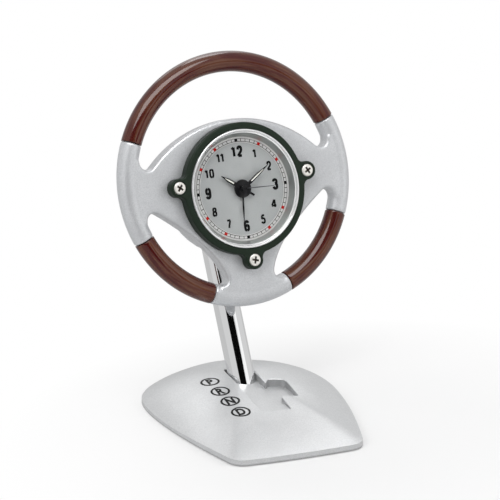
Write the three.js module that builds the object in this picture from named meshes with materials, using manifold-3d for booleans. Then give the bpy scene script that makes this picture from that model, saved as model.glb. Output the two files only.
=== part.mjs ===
// Desk alarm clock shaped as a steering wheel on a leaning column and a domed base.
// Millimetres, +Z up, the dial faces -Y. Each sub-part is one closed solid in its own named mesh.
// Wheel pieces use the wheel's own axes: x across, y up in the rim plane, z out of the dial.
// Base pieces use the base's own axes, whose origin is under the column's foot.

import * as THREE from 'three';
import { mergeVertices } from 'three/addons/utils/BufferGeometryUtils.js';
import Module from 'manifold-3d';

const wasm = await Module();
wasm.setup();

// Pose of the wheel, the column and the base
const floorToRimCentre = 108;
const rimCentreY = 23.82;
const footAhead = 6.9;
const wheelTilt = THREE.MathUtils.degToRad(16.6);
const columnLean = THREE.MathUtils.degToRad(26.2);
const baseTurn = THREE.MathUtils.degToRad(-6.5);

// Clearances
const gap = 0.3;
const runningGap = 0.2;
const overrun = 1;
const weldTolerance = 0.001;

// Rim and hub
const rimRadius = 55.1;
const rimTube = 4.87;
const hubFront = 4.7;
const hubBack = -3.9;
const edgeRound = 1.5;
const clockDrop = 5;
const hubArcShare = 1.0944;
const hubTopShare = 0.51;
const hubArcRadius = rimRadius * hubArcShare;
const hubTop = rimRadius * hubTopShare;
const upperFillet = 3.2;
const lowerFillet = 3.5;
const footFillet = 2.8;
const spokeBendShares = [0.5445, -0.3739];
const stemBendShares = [0.2813, -0.5989];
const lowerFilletAngle = THREE.MathUtils.degToRad(-17.2);
const spokeUnderAngle = THREE.MathUtils.degToRad(128);
const footFilletAngle = THREE.MathUtils.degToRad(-71.7);
const stemSideAngle = THREE.MathUtils.degToRad(165.5);
const plateInset = 0.7;
const plateReach = rimRadius - plateInset;
const sideSpan = THREE.MathUtils.degToRad(24);
const stemSpan = THREE.MathUtils.degToRad(21);
const pegRadius = 2.2;
const pegLength = 4.5;

// Clock insert, set out from the movement case
const caseRadius = 23.6;
const bezelOverhang = 4.1;
const bezelWall = 1.6;
const reflectorWidth = 1.8;
const trackOverlap = 2;
const bezelOuter = caseRadius + bezelOverhang;
const bezelFront = 10.6;
const bezelFoot = 5.7;
const bezelInner = bezelOuter - bezelWall;
const skirtWall = 0.8;
const lipWidth = 0.8;
const lipDrop = 0.4;
const glassThickness = 1;
const glassBack = 9.1;
const glassSeat = 0.7;
const flangeWidth = 1.2;
const dialFront = 3.5;
const dialThickness = 0.5;
const trackInner = caseRadius - trackOverlap;
const trackThickness = 0.3;
const trackEdgeGap = 0.2;

// Clamp ring and its screws, set out from the movement case
const screwRingMargin = 10;
const clampInset = 2.6;
const screwRing = caseRadius + screwRingMargin;
const clampOuter = screwRing - clampInset;
const clampHeight = 5.1;
const clampRound = 0.7;
const screwRise = THREE.MathUtils.degToRad(7.5);
const earRadius = 4.35;
const earFillet = 3;
const screwHead = 2.95;
const screwHeadHeight = 1.9;
const screwShank = 1.3;
const driveWidth = 0.75;
const driveReach = 1.7;
const driveDepth = 1.1;

// Movement case
const caseWall = 1.2;
const caseBack = -15.3;
const coverThickness = 1.2;
const bridgeThickness = 0.8;
const postRadius = 1.2;
const postPlaceShares = [[0, -0.572], [0.6568, 0.5212], [-0.7627, 0.339]];
const postPlaces = postPlaceShares.map((place) => place.map((share) => share * caseRadius));
const bridgeEdgeShare = 0.072;
const bridgeEdge = caseRadius * bridgeEdgeShare;

// Hand pipes, from the second arbor outwards
const secondArbor = 0.45;
const minutePipe = 1.2;
const minutePipeBore = 0.72;
const hourPipe = 2;
const hourPipeBore = 1.48;
const alarmPipe = 2.8;
const alarmPipeBore = 2.28;

// Hands
const handThickness = 0.35;
const alarmHandBack = 4.5;
const hourHandBack = 5.3;
const minuteHandBack = 6.1;
const secondHandBack = 6.9;
const hubCapThickness = 1;
const alarmBoss = 4.3;
const hourBoss = 4.2;
const minuteBoss = 3;
const secondBoss = 1.5;
const alarmReach = 15.5;
const hourReach = 12.5;
const minuteReach = 17.1;
const secondReach = 15.8;
const hourTail = 6.6;
const hourHalfWidth = 0.95;
const minuteHalfWidth = 0.85;
const alarmHalfWidth = 0.4;
const slimHalfWidth = 0.22;
const tipHalfWidth = 0.12;
const alarmAngle = THREE.MathUtils.degToRad(185);
const hourAngle = THREE.MathUtils.degToRad(304.5);
const minuteAngle = THREE.MathUtils.degToRad(56);
const secondAngle = THREE.MathUtils.degToRad(92);

// Gear train: teeth are counts, distances between arbors are shares of the case
const motionDistanceShare = 0.4237;
const motionDistance = caseRadius * motionDistanceShare;
const motionBearing = THREE.MathUtils.degToRad(215);
const setterBearing = THREE.MathUtils.degToRad(140);
const alarmDistanceShare = 0.5492;
const alarmDistance = caseRadius * alarmDistanceShare;
const alarmBearing = THREE.MathUtils.degToRad(8);
const thirdDistanceShare = 0.4322;
const thirdDistance = caseRadius * thirdDistanceShare;
const thirdBearing = THREE.MathUtils.degToRad(60);
const stepDistanceShare = 0.3432;
const stepDistance = caseRadius * stepDistanceShare;
const stepBearing = THREE.MathUtils.degToRad(150);
const rotorDistanceShare = 0.3559;
const rotorDistance = caseRadius * rotorDistanceShare;
const rotorBearing = THREE.MathUtils.degToRad(120);
const cannonTeeth = 12;
const motionTeeth = 36;
const motionPinionTeeth = 10;
const hourTeeth = 40;
const setterTeeth = 12;
const alarmTeeth = 36;
const alarmSetterTeeth = 18;
const centreTeeth = 48;
const thirdTeeth = 45;
const secondTeeth = 30;
const stepTeeth = 36;
const pinionTeeth = 6;
const addendumShare = 0.6;
const dedendumShare = 1;
const gearThickness = 0.6;
const cannonThickness = 0.9;
const pinionOverhang = 0.1;
const arborRadius = 0.5;
const setterArbor = 0.9;
const magnetRadius = 2.9;
const magnetHeight = 1.8;

// Electric parts
const statorFront = -8.1;
const statorThickness = 0.8;
const statorRingShare = 0.2542;
const coilXShare = 0.1059;
const coilYShare = 0.7119;
const statorRing = caseRadius * statorRingShare;
const coilX = caseRadius * coilXShare;
const coilY = caseRadius * coilYShare;
const coilLengthShare = 0.5508;
const coilRadius = 2.4;
const coilLength = caseRadius * coilLengthShare;
const coreWidth = 2.2;
const boardFront = -11;
const boardThickness = 1;
const boardTopShare = -0.0847;
const boardTop = caseRadius * boardTopShare;
const buzzerRadiusShare = 0.339;
const buzzerYShare = -0.4661;
const buzzerRadius = caseRadius * buzzerRadiusShare;
const buzzerY = caseRadius * buzzerYShare;
const buzzerThickness = 0.8;
const cellRadiusShare = 0.2458;
const cellRadius = caseRadius * cellRadiusShare;
const cellThickness = 5.4;
const cellYShare = 0.339;
const cellY = caseRadius * cellYShare;
const contactThickness = 0.3;
const contactWidth = 3;

// Controls on the back
const capLip = 0.8;
const capRadius = cellRadius + capLip;
const capThickness = 1.5;
const slotWidth = 1.2;
const slotDepth = 0.6;
const slotReachShare = 0.67;
const knobRadius = 3.2;
const knobHeight = 3.2;
const knobRibs = 16;
const knobRibDepth = 0.25;
const switchInset = 5.3;
const switchY = caseRadius - switchInset;
const switchWidth = 4.5;
const switchTall = 2.2;
const switchThrow = 4;
const switchRise = 1.4;
const switchFlange = 0.9;

// Rear housing
const housingClearance = 6.4;
const housingRadius = caseRadius + housingClearance;
const housingWall = 1.5;
const housingBack = -18.6;
const housingRound = 4;
const windowInset = 3.1;
const windowRadius = caseRadius - windowInset;
const windowFloor = -4;
const neckHalfWidth = 7.9;
const neckRound = 1.6;
const neckWall = 1.4;
const neckTop = -2;
const neckFootRise = 6;
const neckFoot = neckFootRise - housingRadius;
const neckCurve = 4;
const earThickness = 3.4;

// Column
const tubeRadius = 6.35;
const tubeWall = 1;
const tubeTopInset = 3;
const plugLength = 9;
const neckScrewY = -14;
const neckScrewLength = 4;

// Base
const domeHeight = 13.4;
const footLevel = 9.9;
const frontLip = 3.2;
const sideLip = 2.5;
const baseFront = 80.5;
const baseBack = 41;
const baseHalfWidth = 46.7;
const baseShift = -1.7;
const frontEdgeShares = [0.547, 0.989];
const frontCurveShares = [0.67, 0.982];
const frontCornerShares = [0.705, 0.907];
const sideCurveShares = [[0.8, 0.723], [0.99, 0.343]];
const widestShares = [1, 0.038];
const rearSideShares = [[1, 0.18], [0.968, 0.339], [0.895, 0.451]];
const rearCornerShares = [[0.81, 0.62], [0.653, 0.756], [0.568, 0.804]];
const rearEdgeShares = [[0.4, 0.903], [0.19, 1], [0, 1]];
const frontFadeShares = [0.25, 0.95];
const shellWall = 1.8;
const lipFloor = 0.5;
const leastRise = 0.45;
const frontSlopePower = 1.8;
const sideSlopePower = 3;
const ringShares = [1, 0.95, 0.86, 0.72, 0.5, 0.25];
const outlineSteps = 52;
const gatePan = 1.5;
const gateTilt = 4;
const gateLeft = 6.8;
const gateRight = 6.2;
const gateBack = 7.5;
const gateFront = -44;
const tongueEnd = -15.4;
const bayLeft = 8.6;
const bayBack = -11.8;
const bayCorner = 15.2;
const bayCornerY = -13;
const bayRight = 16.5;
const bayRightY = -15.2;
const bayStep = -31.3;
const laneRight = 7.7;
const socketWall = 2.2;
const socketFloor = 4.8;
const socketFloorThickness = 1.2;
const padThickness = 0.8;
const padShare = 0.88;
const plateShare = 0.87;
const plateThickness = 1.6;
const weightShare = 0.5;
const weightThickness = 3.6;
const bottomPlaces = [[-22, -46], [22, -46], [-28, 14], [28, 14]];
const bottomScrewHead = 2.4;
const bottomScrewHeadHeight = 0.8;
const bottomScrewShank = 1;
const bottomScrewLength = 5;
const bottomPostRadius = 2.6;
const boltRadius = 1.5;
const boltHead = 2.8;
const boltHeadHeight = 1.2;
const boltLength = 6;
const washerRadius = 4;
const washerThickness = 0.6;

// Round shapes are drawn with these numbers of sides
const largeSides = 40;
const mediumSides = 18;
const smallSides = 12;
const tubeSides = 16;
const pegSides = 8;
const boltSides = 6;
const rimStep = THREE.MathUtils.degToRad(9);

// Steps of the arcs that outlines are made of
const longArcSteps = 8;
const earSteps = 7;
const filletSteps = 4;
const cornerSteps = 3;
const outlineCurveSteps = 3;
const bevelSteps = 2;

// Turns a closed geometry into a solid that can be joined and cut
function solid(geometry) {
  const bare = geometry.clone();
  bare.deleteAttribute('normal');
  bare.deleteAttribute('uv');
  const merged = mergeVertices(bare, weldTolerance);
  const places = merged.getAttribute('position').array;
  const corners = Array.from(merged.index.array);
  const point = (i) => new THREE.Vector3().fromArray(places, corners[i] * 3);
  let volume = 0;
  const kept = [];
  for (let i = 0; i < corners.length; i += 3) {
    const same = corners[i] === corners[i + 1] || corners[i + 1] === corners[i + 2];
    if (same || corners[i] === corners[i + 2]) {
      continue;
    }
    volume += point(i).dot(point(i + 1).cross(point(i + 2)));
    kept.push(corners[i], corners[i + 1], corners[i + 2]);
  }
  if (volume < 0) {
    kept.reverse();
  }
  return new wasm.Manifold(new wasm.Mesh({
    numProp: 3,
    vertProperties: new Float32Array(places),
    triVerts: new Uint32Array(kept),
  }));
}

function join(solids) {
  return solids.reduce((whole, next) => whole.add(next));
}

function cut(body, tools) {
  return tools.reduce((rest, tool) => rest.subtract(tool), body);
}

// A named mesh made from a solid, with its own material
function mesh(name, body, colour, roughness, metalness) {
  const data = body.getMesh();
  const geometry = new THREE.BufferGeometry();
  geometry.setAttribute('position', new THREE.BufferAttribute(data.vertProperties, 3));
  geometry.setIndex(new THREE.BufferAttribute(data.triVerts, 1));
  geometry.computeVertexNormals();
  const material = new THREE.MeshStandardMaterial({ color: colour, roughness, metalness });
  const result = new THREE.Mesh(geometry, material);
  result.name = name;
  return result;
}

// Shape with a round outline
function circle(radius, x = 0, y = 0) {
  const shape = new THREE.Shape();
  shape.absarc(x, y, radius, 0, Math.PI * 2);
  return shape;
}

// Round bar between two heights along z
function bar(radius, low, high, x = 0, y = 0, sides = smallSides) {
  const geometry = new THREE.CylinderGeometry(radius, radius, high - low, sides);
  geometry.rotateX(Math.PI / 2);
  geometry.translate(x, y, (low + high) / 2);
  return solid(geometry);
}

// Round bar with a bore through it
function pipe(outer, bore, low, high, x = 0, y = 0, sides = mediumSides) {
  const hole = bar(bore, low - overrun, high + overrun, x, y, sides);
  return bar(outer, low, high, x, y, sides).subtract(hole);
}

// Block from its low corner to its high corner
function block(low, high) {
  const size = high.map((value, i) => value - low[i]);
  const geometry = new THREE.BoxGeometry(...size);
  geometry.translate(...high.map((value, i) => (value + low[i]) / 2));
  return solid(geometry);
}

// Outline extruded along z
function prism(shape, low, high, curveSegments = smallSides) {
  const depth = high - low;
  const geometry = new THREE.ExtrudeGeometry(shape, { depth, bevelEnabled: false, curveSegments });
  geometry.translate(0, 0, low);
  return solid(geometry);
}

// Outline extruded along z with both its edges rounded inside the outline
function roundedPrism(shape, low, high, round, curveSegments = smallSides) {
  const geometry = new THREE.ExtrudeGeometry(shape, {
    depth: high - low - 2 * round,
    bevelThickness: round,
    bevelSize: round,
    bevelOffset: -round,
    bevelSegments: bevelSteps,
    curveSegments,
  });
  geometry.translate(0, 0, low + round);
  return solid(geometry);
}

// Closed profile of [radius, height] points turned about z
function turned(profile, sides = largeSides) {
  const points = [...profile, profile[0]].map(([radius, height]) => new THREE.Vector2(radius, height));
  const geometry = new THREE.LatheGeometry(points, sides);
  geometry.rotateX(Math.PI / 2);
  return solid(geometry);
}

// Stretch of the rim's centre line
class RimArc extends THREE.Curve {
  constructor(from, to) {
    super();
    this.from = from;
    this.to = to;
  }

  getPoint(share) {
    const angle = this.from + (this.to - this.from) * share;
    return new THREE.Vector3(rimRadius * Math.cos(angle), rimRadius * Math.sin(angle), 0);
  }
}

// Solid or bored tube along a stretch of the rim
function rimTubePiece(from, to, outer, bore = 0) {
  const section = circle(outer);
  if (bore > 0) {
    section.holes.push(circle(bore));
  }
  const steps = Math.max(2, Math.round((to - from) / rimStep));
  const sides = outer < rimTube ? pegSides : tubeSides;
  const extrudePath = new RimArc(from, to);
  return solid(new THREE.ExtrudeGeometry(section, { steps, curveSegments: sides / 2, extrudePath }));
}

const clockCentre = [0, -clockDrop];
const screwAngles = [screwRise, Math.PI - screwRise, -Math.PI / 2];
const screwPlaces = screwAngles.map((angle) => [screwRing * Math.cos(angle), screwRing * Math.sin(angle)]);
const clampBack = hubFront + gap;
const clampFront = clampBack + clampHeight;

// Points of an arc from one angle to another, anticlockwise unless told otherwise
function arcPoints(x, y, radius, from, to, steps, clockwise = false) {
  const full = Math.PI * 2;
  const sweep = clockwise ? -((((from - to) % full) + full) % full) : (((to - from) % full) + full) % full;
  const points = [];
  for (let i = 0; i <= steps; i++) {
    const angle = from + (sweep * i) / steps;
    points.push(new THREE.Vector2(x + radius * Math.cos(angle), y + radius * Math.sin(angle)));
  }
  return points;
}

function onAngle(radius, angle) {
  return new THREE.Vector2(radius * Math.cos(angle), radius * Math.sin(angle));
}

function arcAbout(centre, radius, from, to, steps, clockwise = false) {
  return arcPoints(centre.x, centre.y, radius, from, to, steps, clockwise);
}

// Outline of the hub and its three spokes, which end inside the rim's tube
function wheelOutline() {
  const rimInner = rimRadius - rimTube;
  const arcY = hubTop - hubArcRadius;
  const filletOut = rimInner - upperFillet;
  const filletY = (arcY ** 2 - (hubArcRadius + upperFillet) ** 2 + filletOut ** 2) / (2 * arcY);
  const upper = new THREE.Vector2(Math.sqrt(filletOut ** 2 - filletY ** 2), filletY);
  const fromHub = upper.clone().sub(new THREE.Vector2(0, arcY)).angle();
  const lower = onAngle(rimInner - lowerFillet, lowerFilletAngle);
  const foot = onAngle(rimInner - footFillet, footFilletAngle);
  const underStart = onAngle(lowerFillet, spokeUnderAngle).add(lower);
  const stemEnd = onAngle(footFillet, stemSideAngle).add(foot);
  const under = new THREE.CubicBezierCurve(
    underStart,
    new THREE.Vector2(...spokeBendShares).multiplyScalar(rimRadius),
    new THREE.Vector2(...stemBendShares).multiplyScalar(rimRadius),
    stemEnd,
  );
  const half = [
    ...arcPoints(0, arcY, hubArcRadius, Math.PI / 2, fromHub, longArcSteps, true),
    ...arcAbout(upper, upperFillet, fromHub + Math.PI, upper.angle(), filletSteps).slice(1),
    ...arcPoints(0, 0, plateReach, upper.angle(), lowerFilletAngle, filletSteps, true),
    ...arcAbout(lower, lowerFillet, lowerFilletAngle, spokeUnderAngle, filletSteps),
    ...under.getPoints(longArcSteps).slice(1),
    ...arcAbout(foot, footFillet, stemSideAngle, footFilletAngle, filletSteps).slice(1),
    ...arcPoints(0, 0, plateReach, footFilletAngle, -Math.PI / 2, filletSteps, true),
  ];
  const mirrored = half.slice(1, -1).map((point) => new THREE.Vector2(-point.x, point.y));
  return new THREE.Shape([...half, ...mirrored.reverse()]);
}

const seatFloor = dialFront - dialThickness - 2 * gap - caseWall - gap;
const skirtRadius = bezelInner + skirtWall;
const silverSpans = [[0, sideSpan], [Math.PI, sideSpan], [-Math.PI / 2, stemSpan]];

function wheelBody() {
  const pegAngle = pegLength / rimRadius;
  const arcs = silverSpans.map(([middle, half]) => rimTubePiece(middle - half, middle + half, rimTube));
  const pegs = silverSpans.map(([middle, half]) => (
    rimTubePiece(middle - half - pegAngle, middle + half + pegAngle, pegRadius)
  ));
  const plate = roundedPrism(wheelOutline(), hubBack, hubFront, edgeRound);
  const screwHoles = screwPlaces.map(([x, y]) => (
    bar(screwShank + gap, hubBack - overrun, hubFront + overrun, x, y - clockDrop)
  ));
  return cut(join([plate, ...arcs, ...pegs]), [
    bar(skirtRadius + gap, seatFloor, hubFront + overrun, ...clockCentre, largeSides),
    bar(caseRadius + caseWall, hubBack - overrun, hubFront + overrun, ...clockCentre, largeSides),
    ...screwHoles,
  ]);
}

// Wood-look sleeve over the pegs, between two silver stretches
function rimSleeve(from, to) {
  const trim = gap / rimRadius;
  return rimTubePiece(from + trim, to - trim, rimTube, pegRadius + gap);
}

// Outline of the clamp ring, with a fillet on each side of its screw ears
function clampOutline() {
  const out = clampOuter + earFillet;
  const near = earRadius + earFillet;
  const offset = Math.acos((out ** 2 + screwRing ** 2 - near ** 2) / (2 * screwRing * out));
  const points = [];
  screwAngles.forEach((angle, i) => {
    const next = screwAngles[(i + 1) % screwAngles.length];
    const ear = onAngle(screwRing, angle);
    const before = onAngle(out, angle - offset);
    const after = onAngle(out, angle + offset);
    const toBefore = before.clone().sub(ear).angle();
    const toAfter = after.clone().sub(ear).angle();
    points.push(
      ...arcAbout(before, earFillet, angle - offset + Math.PI, toBefore + Math.PI, cornerSteps, true),
      ...arcAbout(ear, earRadius, toBefore, toAfter, earSteps).slice(1),
      ...arcAbout(after, earFillet, toAfter + Math.PI, angle + offset + Math.PI, cornerSteps, true).slice(1),
      ...arcPoints(0, 0, clampOuter, angle + offset, next - offset, longArcSteps).slice(1, -1),
    );
  });
  return new THREE.Shape(points);
}

function clampRing() {
  const ring = roundedPrism(clampOutline(), clampBack, clampFront, clampRound);
  const recesses = screwPlaces.map(([x, y]) => (
    bar(screwHead + runningGap, clampFront - screwHeadHeight - gap, clampFront + overrun, x, y, mediumSides)
  ));
  const holes = screwPlaces.map(([x, y]) => bar(screwShank + gap, clampBack - overrun, clampFront, x, y));
  return cut(ring, [
    bar(bezelOuter + gap, clampBack - overrun, clampFront + overrun, 0, 0, largeSides),
    bar(bezelOuter + flangeWidth + gap, clampBack - overrun, bezelFoot + gap, 0, 0, largeSides),
    ...recesses,
    ...holes,
  ]);
}

// Screw with a cross recess, its axis along z and its head on top
function crossScrew(headRadius, headHeight, shankRadius, length, depth) {
  const head = bar(headRadius, 0, headHeight, 0, 0, mediumSides);
  const shank = bar(shankRadius, -length, headHeight / 2);
  const low = headHeight - depth;
  const high = headHeight + overrun;
  const half = driveWidth / 2;
  return cut(join([head, shank]), [
    block([-driveReach, -half, low], [driveReach, half, high]),
    block([-half, -driveReach, low], [half, driveReach, high]),
  ]);
}

function largeScrew(length) {
  return crossScrew(screwHead, screwHeadHeight, screwShank, length, driveDepth);
}

function bezel() {
  const ledge = glassBack - gap;
  const groove = bezelInner + glassSeat;
  const lipTop = bezelFront;
  const lipFoot = bezelFront - lipDrop;
  return turned([
    [bezelOuter + flangeWidth, clampBack],
    [bezelOuter + flangeWidth, bezelFoot],
    [bezelOuter, bezelFoot],
    [bezelOuter, lipFoot],
    [bezelOuter - lipWidth / 3, lipTop],
    [bezelOuter - lipWidth * 2 / 3, lipTop],
    [groove, lipFoot],
    [groove, ledge],
    [bezelInner, ledge],
    [bezelInner - reflectorWidth, trackFront + gap],
    [bezelInner, trackFront + gap],
    [bezelInner, dialFront - dialThickness],
    [skirtRadius, dialFront - dialThickness],
    [skirtRadius, clampBack],
  ]);
}

// Movement case: a cup with the dial's seat, the pipes' hole, three posts and the motion wheel's stud
const flangeFront = dialFront - dialThickness - gap;
const caseFloor = flangeFront - caseWall;
const alarmLevel = caseFloor - gap;
const hourLevel = alarmLevel - gearThickness - gap;
const cannonLevel = hourLevel - gearThickness - gap;
const centreLevel = cannonLevel - cannonThickness - gap;
const thirdLevel = centreLevel - gearThickness - gap - runningGap;
const secondLevel = thirdLevel - gearThickness - gap;
const stepLevel = secondLevel - gearThickness - gap;
const bridgeFront = stepLevel - gearThickness - pinionOverhang - gap;
const bridgeBack = bridgeFront - bridgeThickness;
const motionCentre = onAngle(motionDistance, motionBearing);
const setterDistance = (motionDistance * (motionTeeth + setterTeeth)) / (motionTeeth + cannonTeeth);
const setterCentre = onAngle(setterDistance, setterBearing).add(motionCentre);
const alarmSetterCentre = onAngle(alarmDistance, alarmBearing);
const thirdCentre = onAngle(thirdDistance, thirdBearing);
const stepCentre = onAngle(stepDistance, stepBearing);
const rotorCentre = onAngle(rotorDistance, rotorBearing).add(stepCentre);

function movementCase() {
  const inner = caseRadius - caseWall;
  const cup = join([
    bar(skirtRadius, caseFloor, flangeFront, 0, 0, largeSides),
    bar(caseRadius, caseBack, flangeFront - caseWall / 2, 0, 0, largeSides),
  ]);
  const root = caseFloor + caseWall / 2;
  const posts = postPlaces.map(([x, y]) => bar(postRadius, bridgeFront + gap, root, x, y));
  const stud = bar(setterArbor, cannonLevel - cannonThickness, root, motionCentre.x, motionCentre.y);
  return join([
    cut(cup, [
      bar(inner, caseBack - overrun, caseFloor, 0, 0, largeSides),
      bar(alarmPipe + runningGap, caseFloor - overrun, flangeFront + overrun, 0, 0, mediumSides),
    ]),
    ...posts,
    stud,
  ]);
}

const coverFront = caseBack - gap;
const coverBack = coverFront - coverThickness;
const capBack = coverBack - (capThickness - coverThickness) - gap;

function movementCover() {
  const under = coverBack - overrun;
  const reach = (switchWidth + switchThrow) / 2 + gap;
  const rise = switchTall / 2 + gap;
  return cut(bar(caseRadius, coverBack, coverFront, 0, 0, largeSides), [
    bar(setterArbor + runningGap, under, caseBack, setterCentre.x, setterCentre.y),
    bar(setterArbor + runningGap, under, caseBack, alarmSetterCentre.x, alarmSetterCentre.y),
    bar(capRadius + gap, under, caseBack, 0, cellY, mediumSides),
    block([-reach, switchY - rise, under], [reach, switchY + rise, caseBack]),
  ]);
}

// Plate that carries the back pivots of the train, screwed to the three posts
function trainBridge() {
  const places = postPlaces.map(([x, y]) => new THREE.Vector2(x, y));
  const points = [];
  places.forEach((place, i) => {
    const last = places[(i + 2) % 3];
    const next = places[(i + 1) % 3];
    const before = place.clone().sub(last).angle() - Math.PI / 2;
    const after = next.clone().sub(place).angle() - Math.PI / 2;
    points.push(...arcAbout(place, bridgeEdge, before, after, cornerSteps));
  });
  const pivots = [new THREE.Vector2(), thirdCentre, stepCentre];
  const plate = prism(new THREE.Shape(points), bridgeBack, bridgeFront);
  return cut(plate, pivots.map(({ x, y }) => (
    bar(arborRadius + runningGap, bridgeBack - overrun, bridgeFront + overrun, x, y)
  )));
}

// Spur wheel with pointed teeth; phase is the angle of one tooth's middle
function gear(teeth, pitchRadius, low, high, centre, phase, bore = 0) {
  const module = (2 * pitchRadius) / teeth;
  const points = [];
  for (let i = 0; i < teeth; i++) {
    const middle = phase + (2 * Math.PI * i) / teeth;
    points.push(onAngle(pitchRadius + addendumShare * module, middle).add(centre));
    points.push(onAngle(pitchRadius - dedendumShare * module, middle + Math.PI / teeth).add(centre));
  }
  const body = prism(new THREE.Shape(points), low, high);
  if (bore === 0) {
    return body;
  }
  return body.subtract(bar(bore, low - overrun, high + overrun, centre.x, centre.y));
}

// Phase of a wheel that meshes with another one lying at a bearing from it
function meshed(phase, teeth, otherTeeth, bearing) {
  return bearing + Math.PI + Math.PI / otherTeeth - ((phase - bearing) * teeth) / otherTeeth;
}

// Pitch radii, shared out between two meshing wheels by their teeth
function pitch(distance, teeth, otherTeeth) {
  return (distance * teeth) / (teeth + otherTeeth);
}

const axis = new THREE.Vector2();
const motionPhase = meshed(0, cannonTeeth, motionTeeth, motionBearing);
const setterPhase = meshed(motionPhase, motionTeeth, setterTeeth, setterBearing);
const hourPhase = meshed(0, motionPinionTeeth, hourTeeth, motionBearing + Math.PI);
const alarmPhase = meshed(0, alarmSetterTeeth, alarmTeeth, alarmBearing + Math.PI);
const centrePhase = meshed(0, pinionTeeth, centreTeeth, thirdBearing + Math.PI);
const thirdPhase = meshed(0, pinionTeeth, thirdTeeth, thirdBearing);
const secondPhase = meshed(0, pinionTeeth, secondTeeth, stepBearing + Math.PI);
const stepPhase = meshed(0, pinionTeeth, stepTeeth, rotorBearing + Math.PI);

function cannonPinion() {
  const low = cannonLevel - cannonThickness;
  const pinionPitch = pitch(motionDistance, cannonTeeth, motionTeeth);
  const top = minuteHandBack + handThickness;
  return cut(join([
    gear(cannonTeeth, pinionPitch, low, cannonLevel, axis, 0),
    bar(minutePipe, centreLevel - gearThickness - pinionOverhang, top),
  ]), [bar(minutePipeBore, centreLevel - gearThickness - overrun, top + overrun)]);
}

function motionWheel() {
  const wheelPitch = pitch(motionDistance, motionTeeth, cannonTeeth);
  const pinionPitch = pitch(motionDistance, motionPinionTeeth, hourTeeth);
  const bore = setterArbor + runningGap;
  const low = cannonLevel - gearThickness;
  return join([
    gear(motionTeeth, wheelPitch, low, cannonLevel, motionCentre, motionPhase, bore),
    gear(motionPinionTeeth, pinionPitch, low, hourLevel, motionCentre, 0, bore),
  ]);
}

function hourWheel() {
  const wheelPitch = pitch(motionDistance, hourTeeth, motionPinionTeeth);
  const top = hourHandBack + handThickness;
  return cut(join([
    gear(hourTeeth, wheelPitch, hourLevel - gearThickness, hourLevel, axis, hourPhase),
    bar(hourPipe, hourLevel - gearThickness, top),
  ]), [bar(hourPipeBore, hourLevel - overrun, top + overrun)]);
}

function alarmWheel() {
  const wheelPitch = pitch(alarmDistance, alarmTeeth, alarmSetterTeeth);
  const low = alarmLevel - gearThickness;
  const top = alarmHandBack + handThickness;
  return cut(join([
    gear(alarmTeeth, wheelPitch, low, alarmLevel, axis, alarmPhase),
    bar(alarmPipe, low, top, 0, 0, mediumSides),
  ]), [bar(alarmPipeBore, low - overrun, top + overrun, 0, 0, mediumSides)]);
}

const arborEnd = housingBack - gap;

function setterArborPiece(teeth, pitchRadius, level, centre, phase) {
  return join([
    gear(teeth, pitchRadius, level - gearThickness, level, centre, phase),
    bar(setterArbor, arborEnd, level - gearThickness / 2, centre.x, centre.y),
  ]);
}

function centreWheel() {
  const wheelPitch = pitch(thirdDistance, centreTeeth, pinionTeeth);
  const low = centreLevel - gearThickness;
  return gear(centreTeeth, wheelPitch, low, centreLevel, axis, centrePhase, minutePipe + runningGap);
}

// A wheel on an arbor with a small pinion beside it
function trainArbor(wheel, pinion, arbor) {
  const parts = [
    gear(wheel.teeth, wheel.pitch, wheel.level - gearThickness, wheel.level, arbor.centre, wheel.phase),
    gear(pinionTeeth, pinion.pitch, pinion.low, pinion.high, arbor.centre, 0),
    bar(arbor.radius, arbor.low, arbor.high, arbor.centre.x, arbor.centre.y),
  ];
  return join(parts);
}

function thirdWheel() {
  return trainArbor(
    {
      teeth: thirdTeeth,
      pitch: pitch(thirdDistance, thirdTeeth, pinionTeeth),
      level: thirdLevel,
      phase: thirdPhase,
    },
    {
      pitch: pitch(thirdDistance, pinionTeeth, centreTeeth),
      low: thirdLevel - gearThickness / 2,
      high: centreLevel + pinionOverhang,
    },
    { radius: arborRadius, low: bridgeBack, high: caseFloor - gap, centre: thirdCentre },
  );
}

function secondWheel() {
  return trainArbor(
    {
      teeth: secondTeeth,
      pitch: pitch(stepDistance, secondTeeth, pinionTeeth),
      level: secondLevel,
      phase: secondPhase,
    },
    {
      pitch: pitch(thirdDistance, pinionTeeth, thirdTeeth),
      low: secondLevel - gearThickness / 2,
      high: thirdLevel + pinionOverhang,
    },
    { radius: secondArbor, low: bridgeBack, high: secondHandBack + handThickness, centre: axis },
  );
}

function stepWheel() {
  return trainArbor(
    {
      teeth: stepTeeth,
      pitch: pitch(rotorDistance, stepTeeth, pinionTeeth),
      level: stepLevel,
      phase: stepPhase,
    },
    {
      pitch: pitch(stepDistance, pinionTeeth, secondTeeth),
      low: stepLevel - gearThickness / 2,
      high: secondLevel + pinionOverhang,
    },
    { radius: arborRadius, low: bridgeBack, high: secondLevel + pinionOverhang, centre: stepCentre },
  );
}

const magnetFront = statorFront + (magnetHeight - statorThickness) / 2;

function rotor() {
  const { x, y } = rotorCentre;
  const pinionPitch = pitch(rotorDistance, pinionTeeth, stepTeeth);
  const low = stepLevel - gearThickness - pinionOverhang;
  return join([
    gear(pinionTeeth, pinionPitch, low, stepLevel + pinionOverhang, rotorCentre, 0),
    bar(arborRadius, coverFront + gap, stepLevel, x, y),
    bar(magnetRadius, magnetFront - magnetHeight, magnetFront, x, y, mediumSides),
  ]);
}

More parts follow.
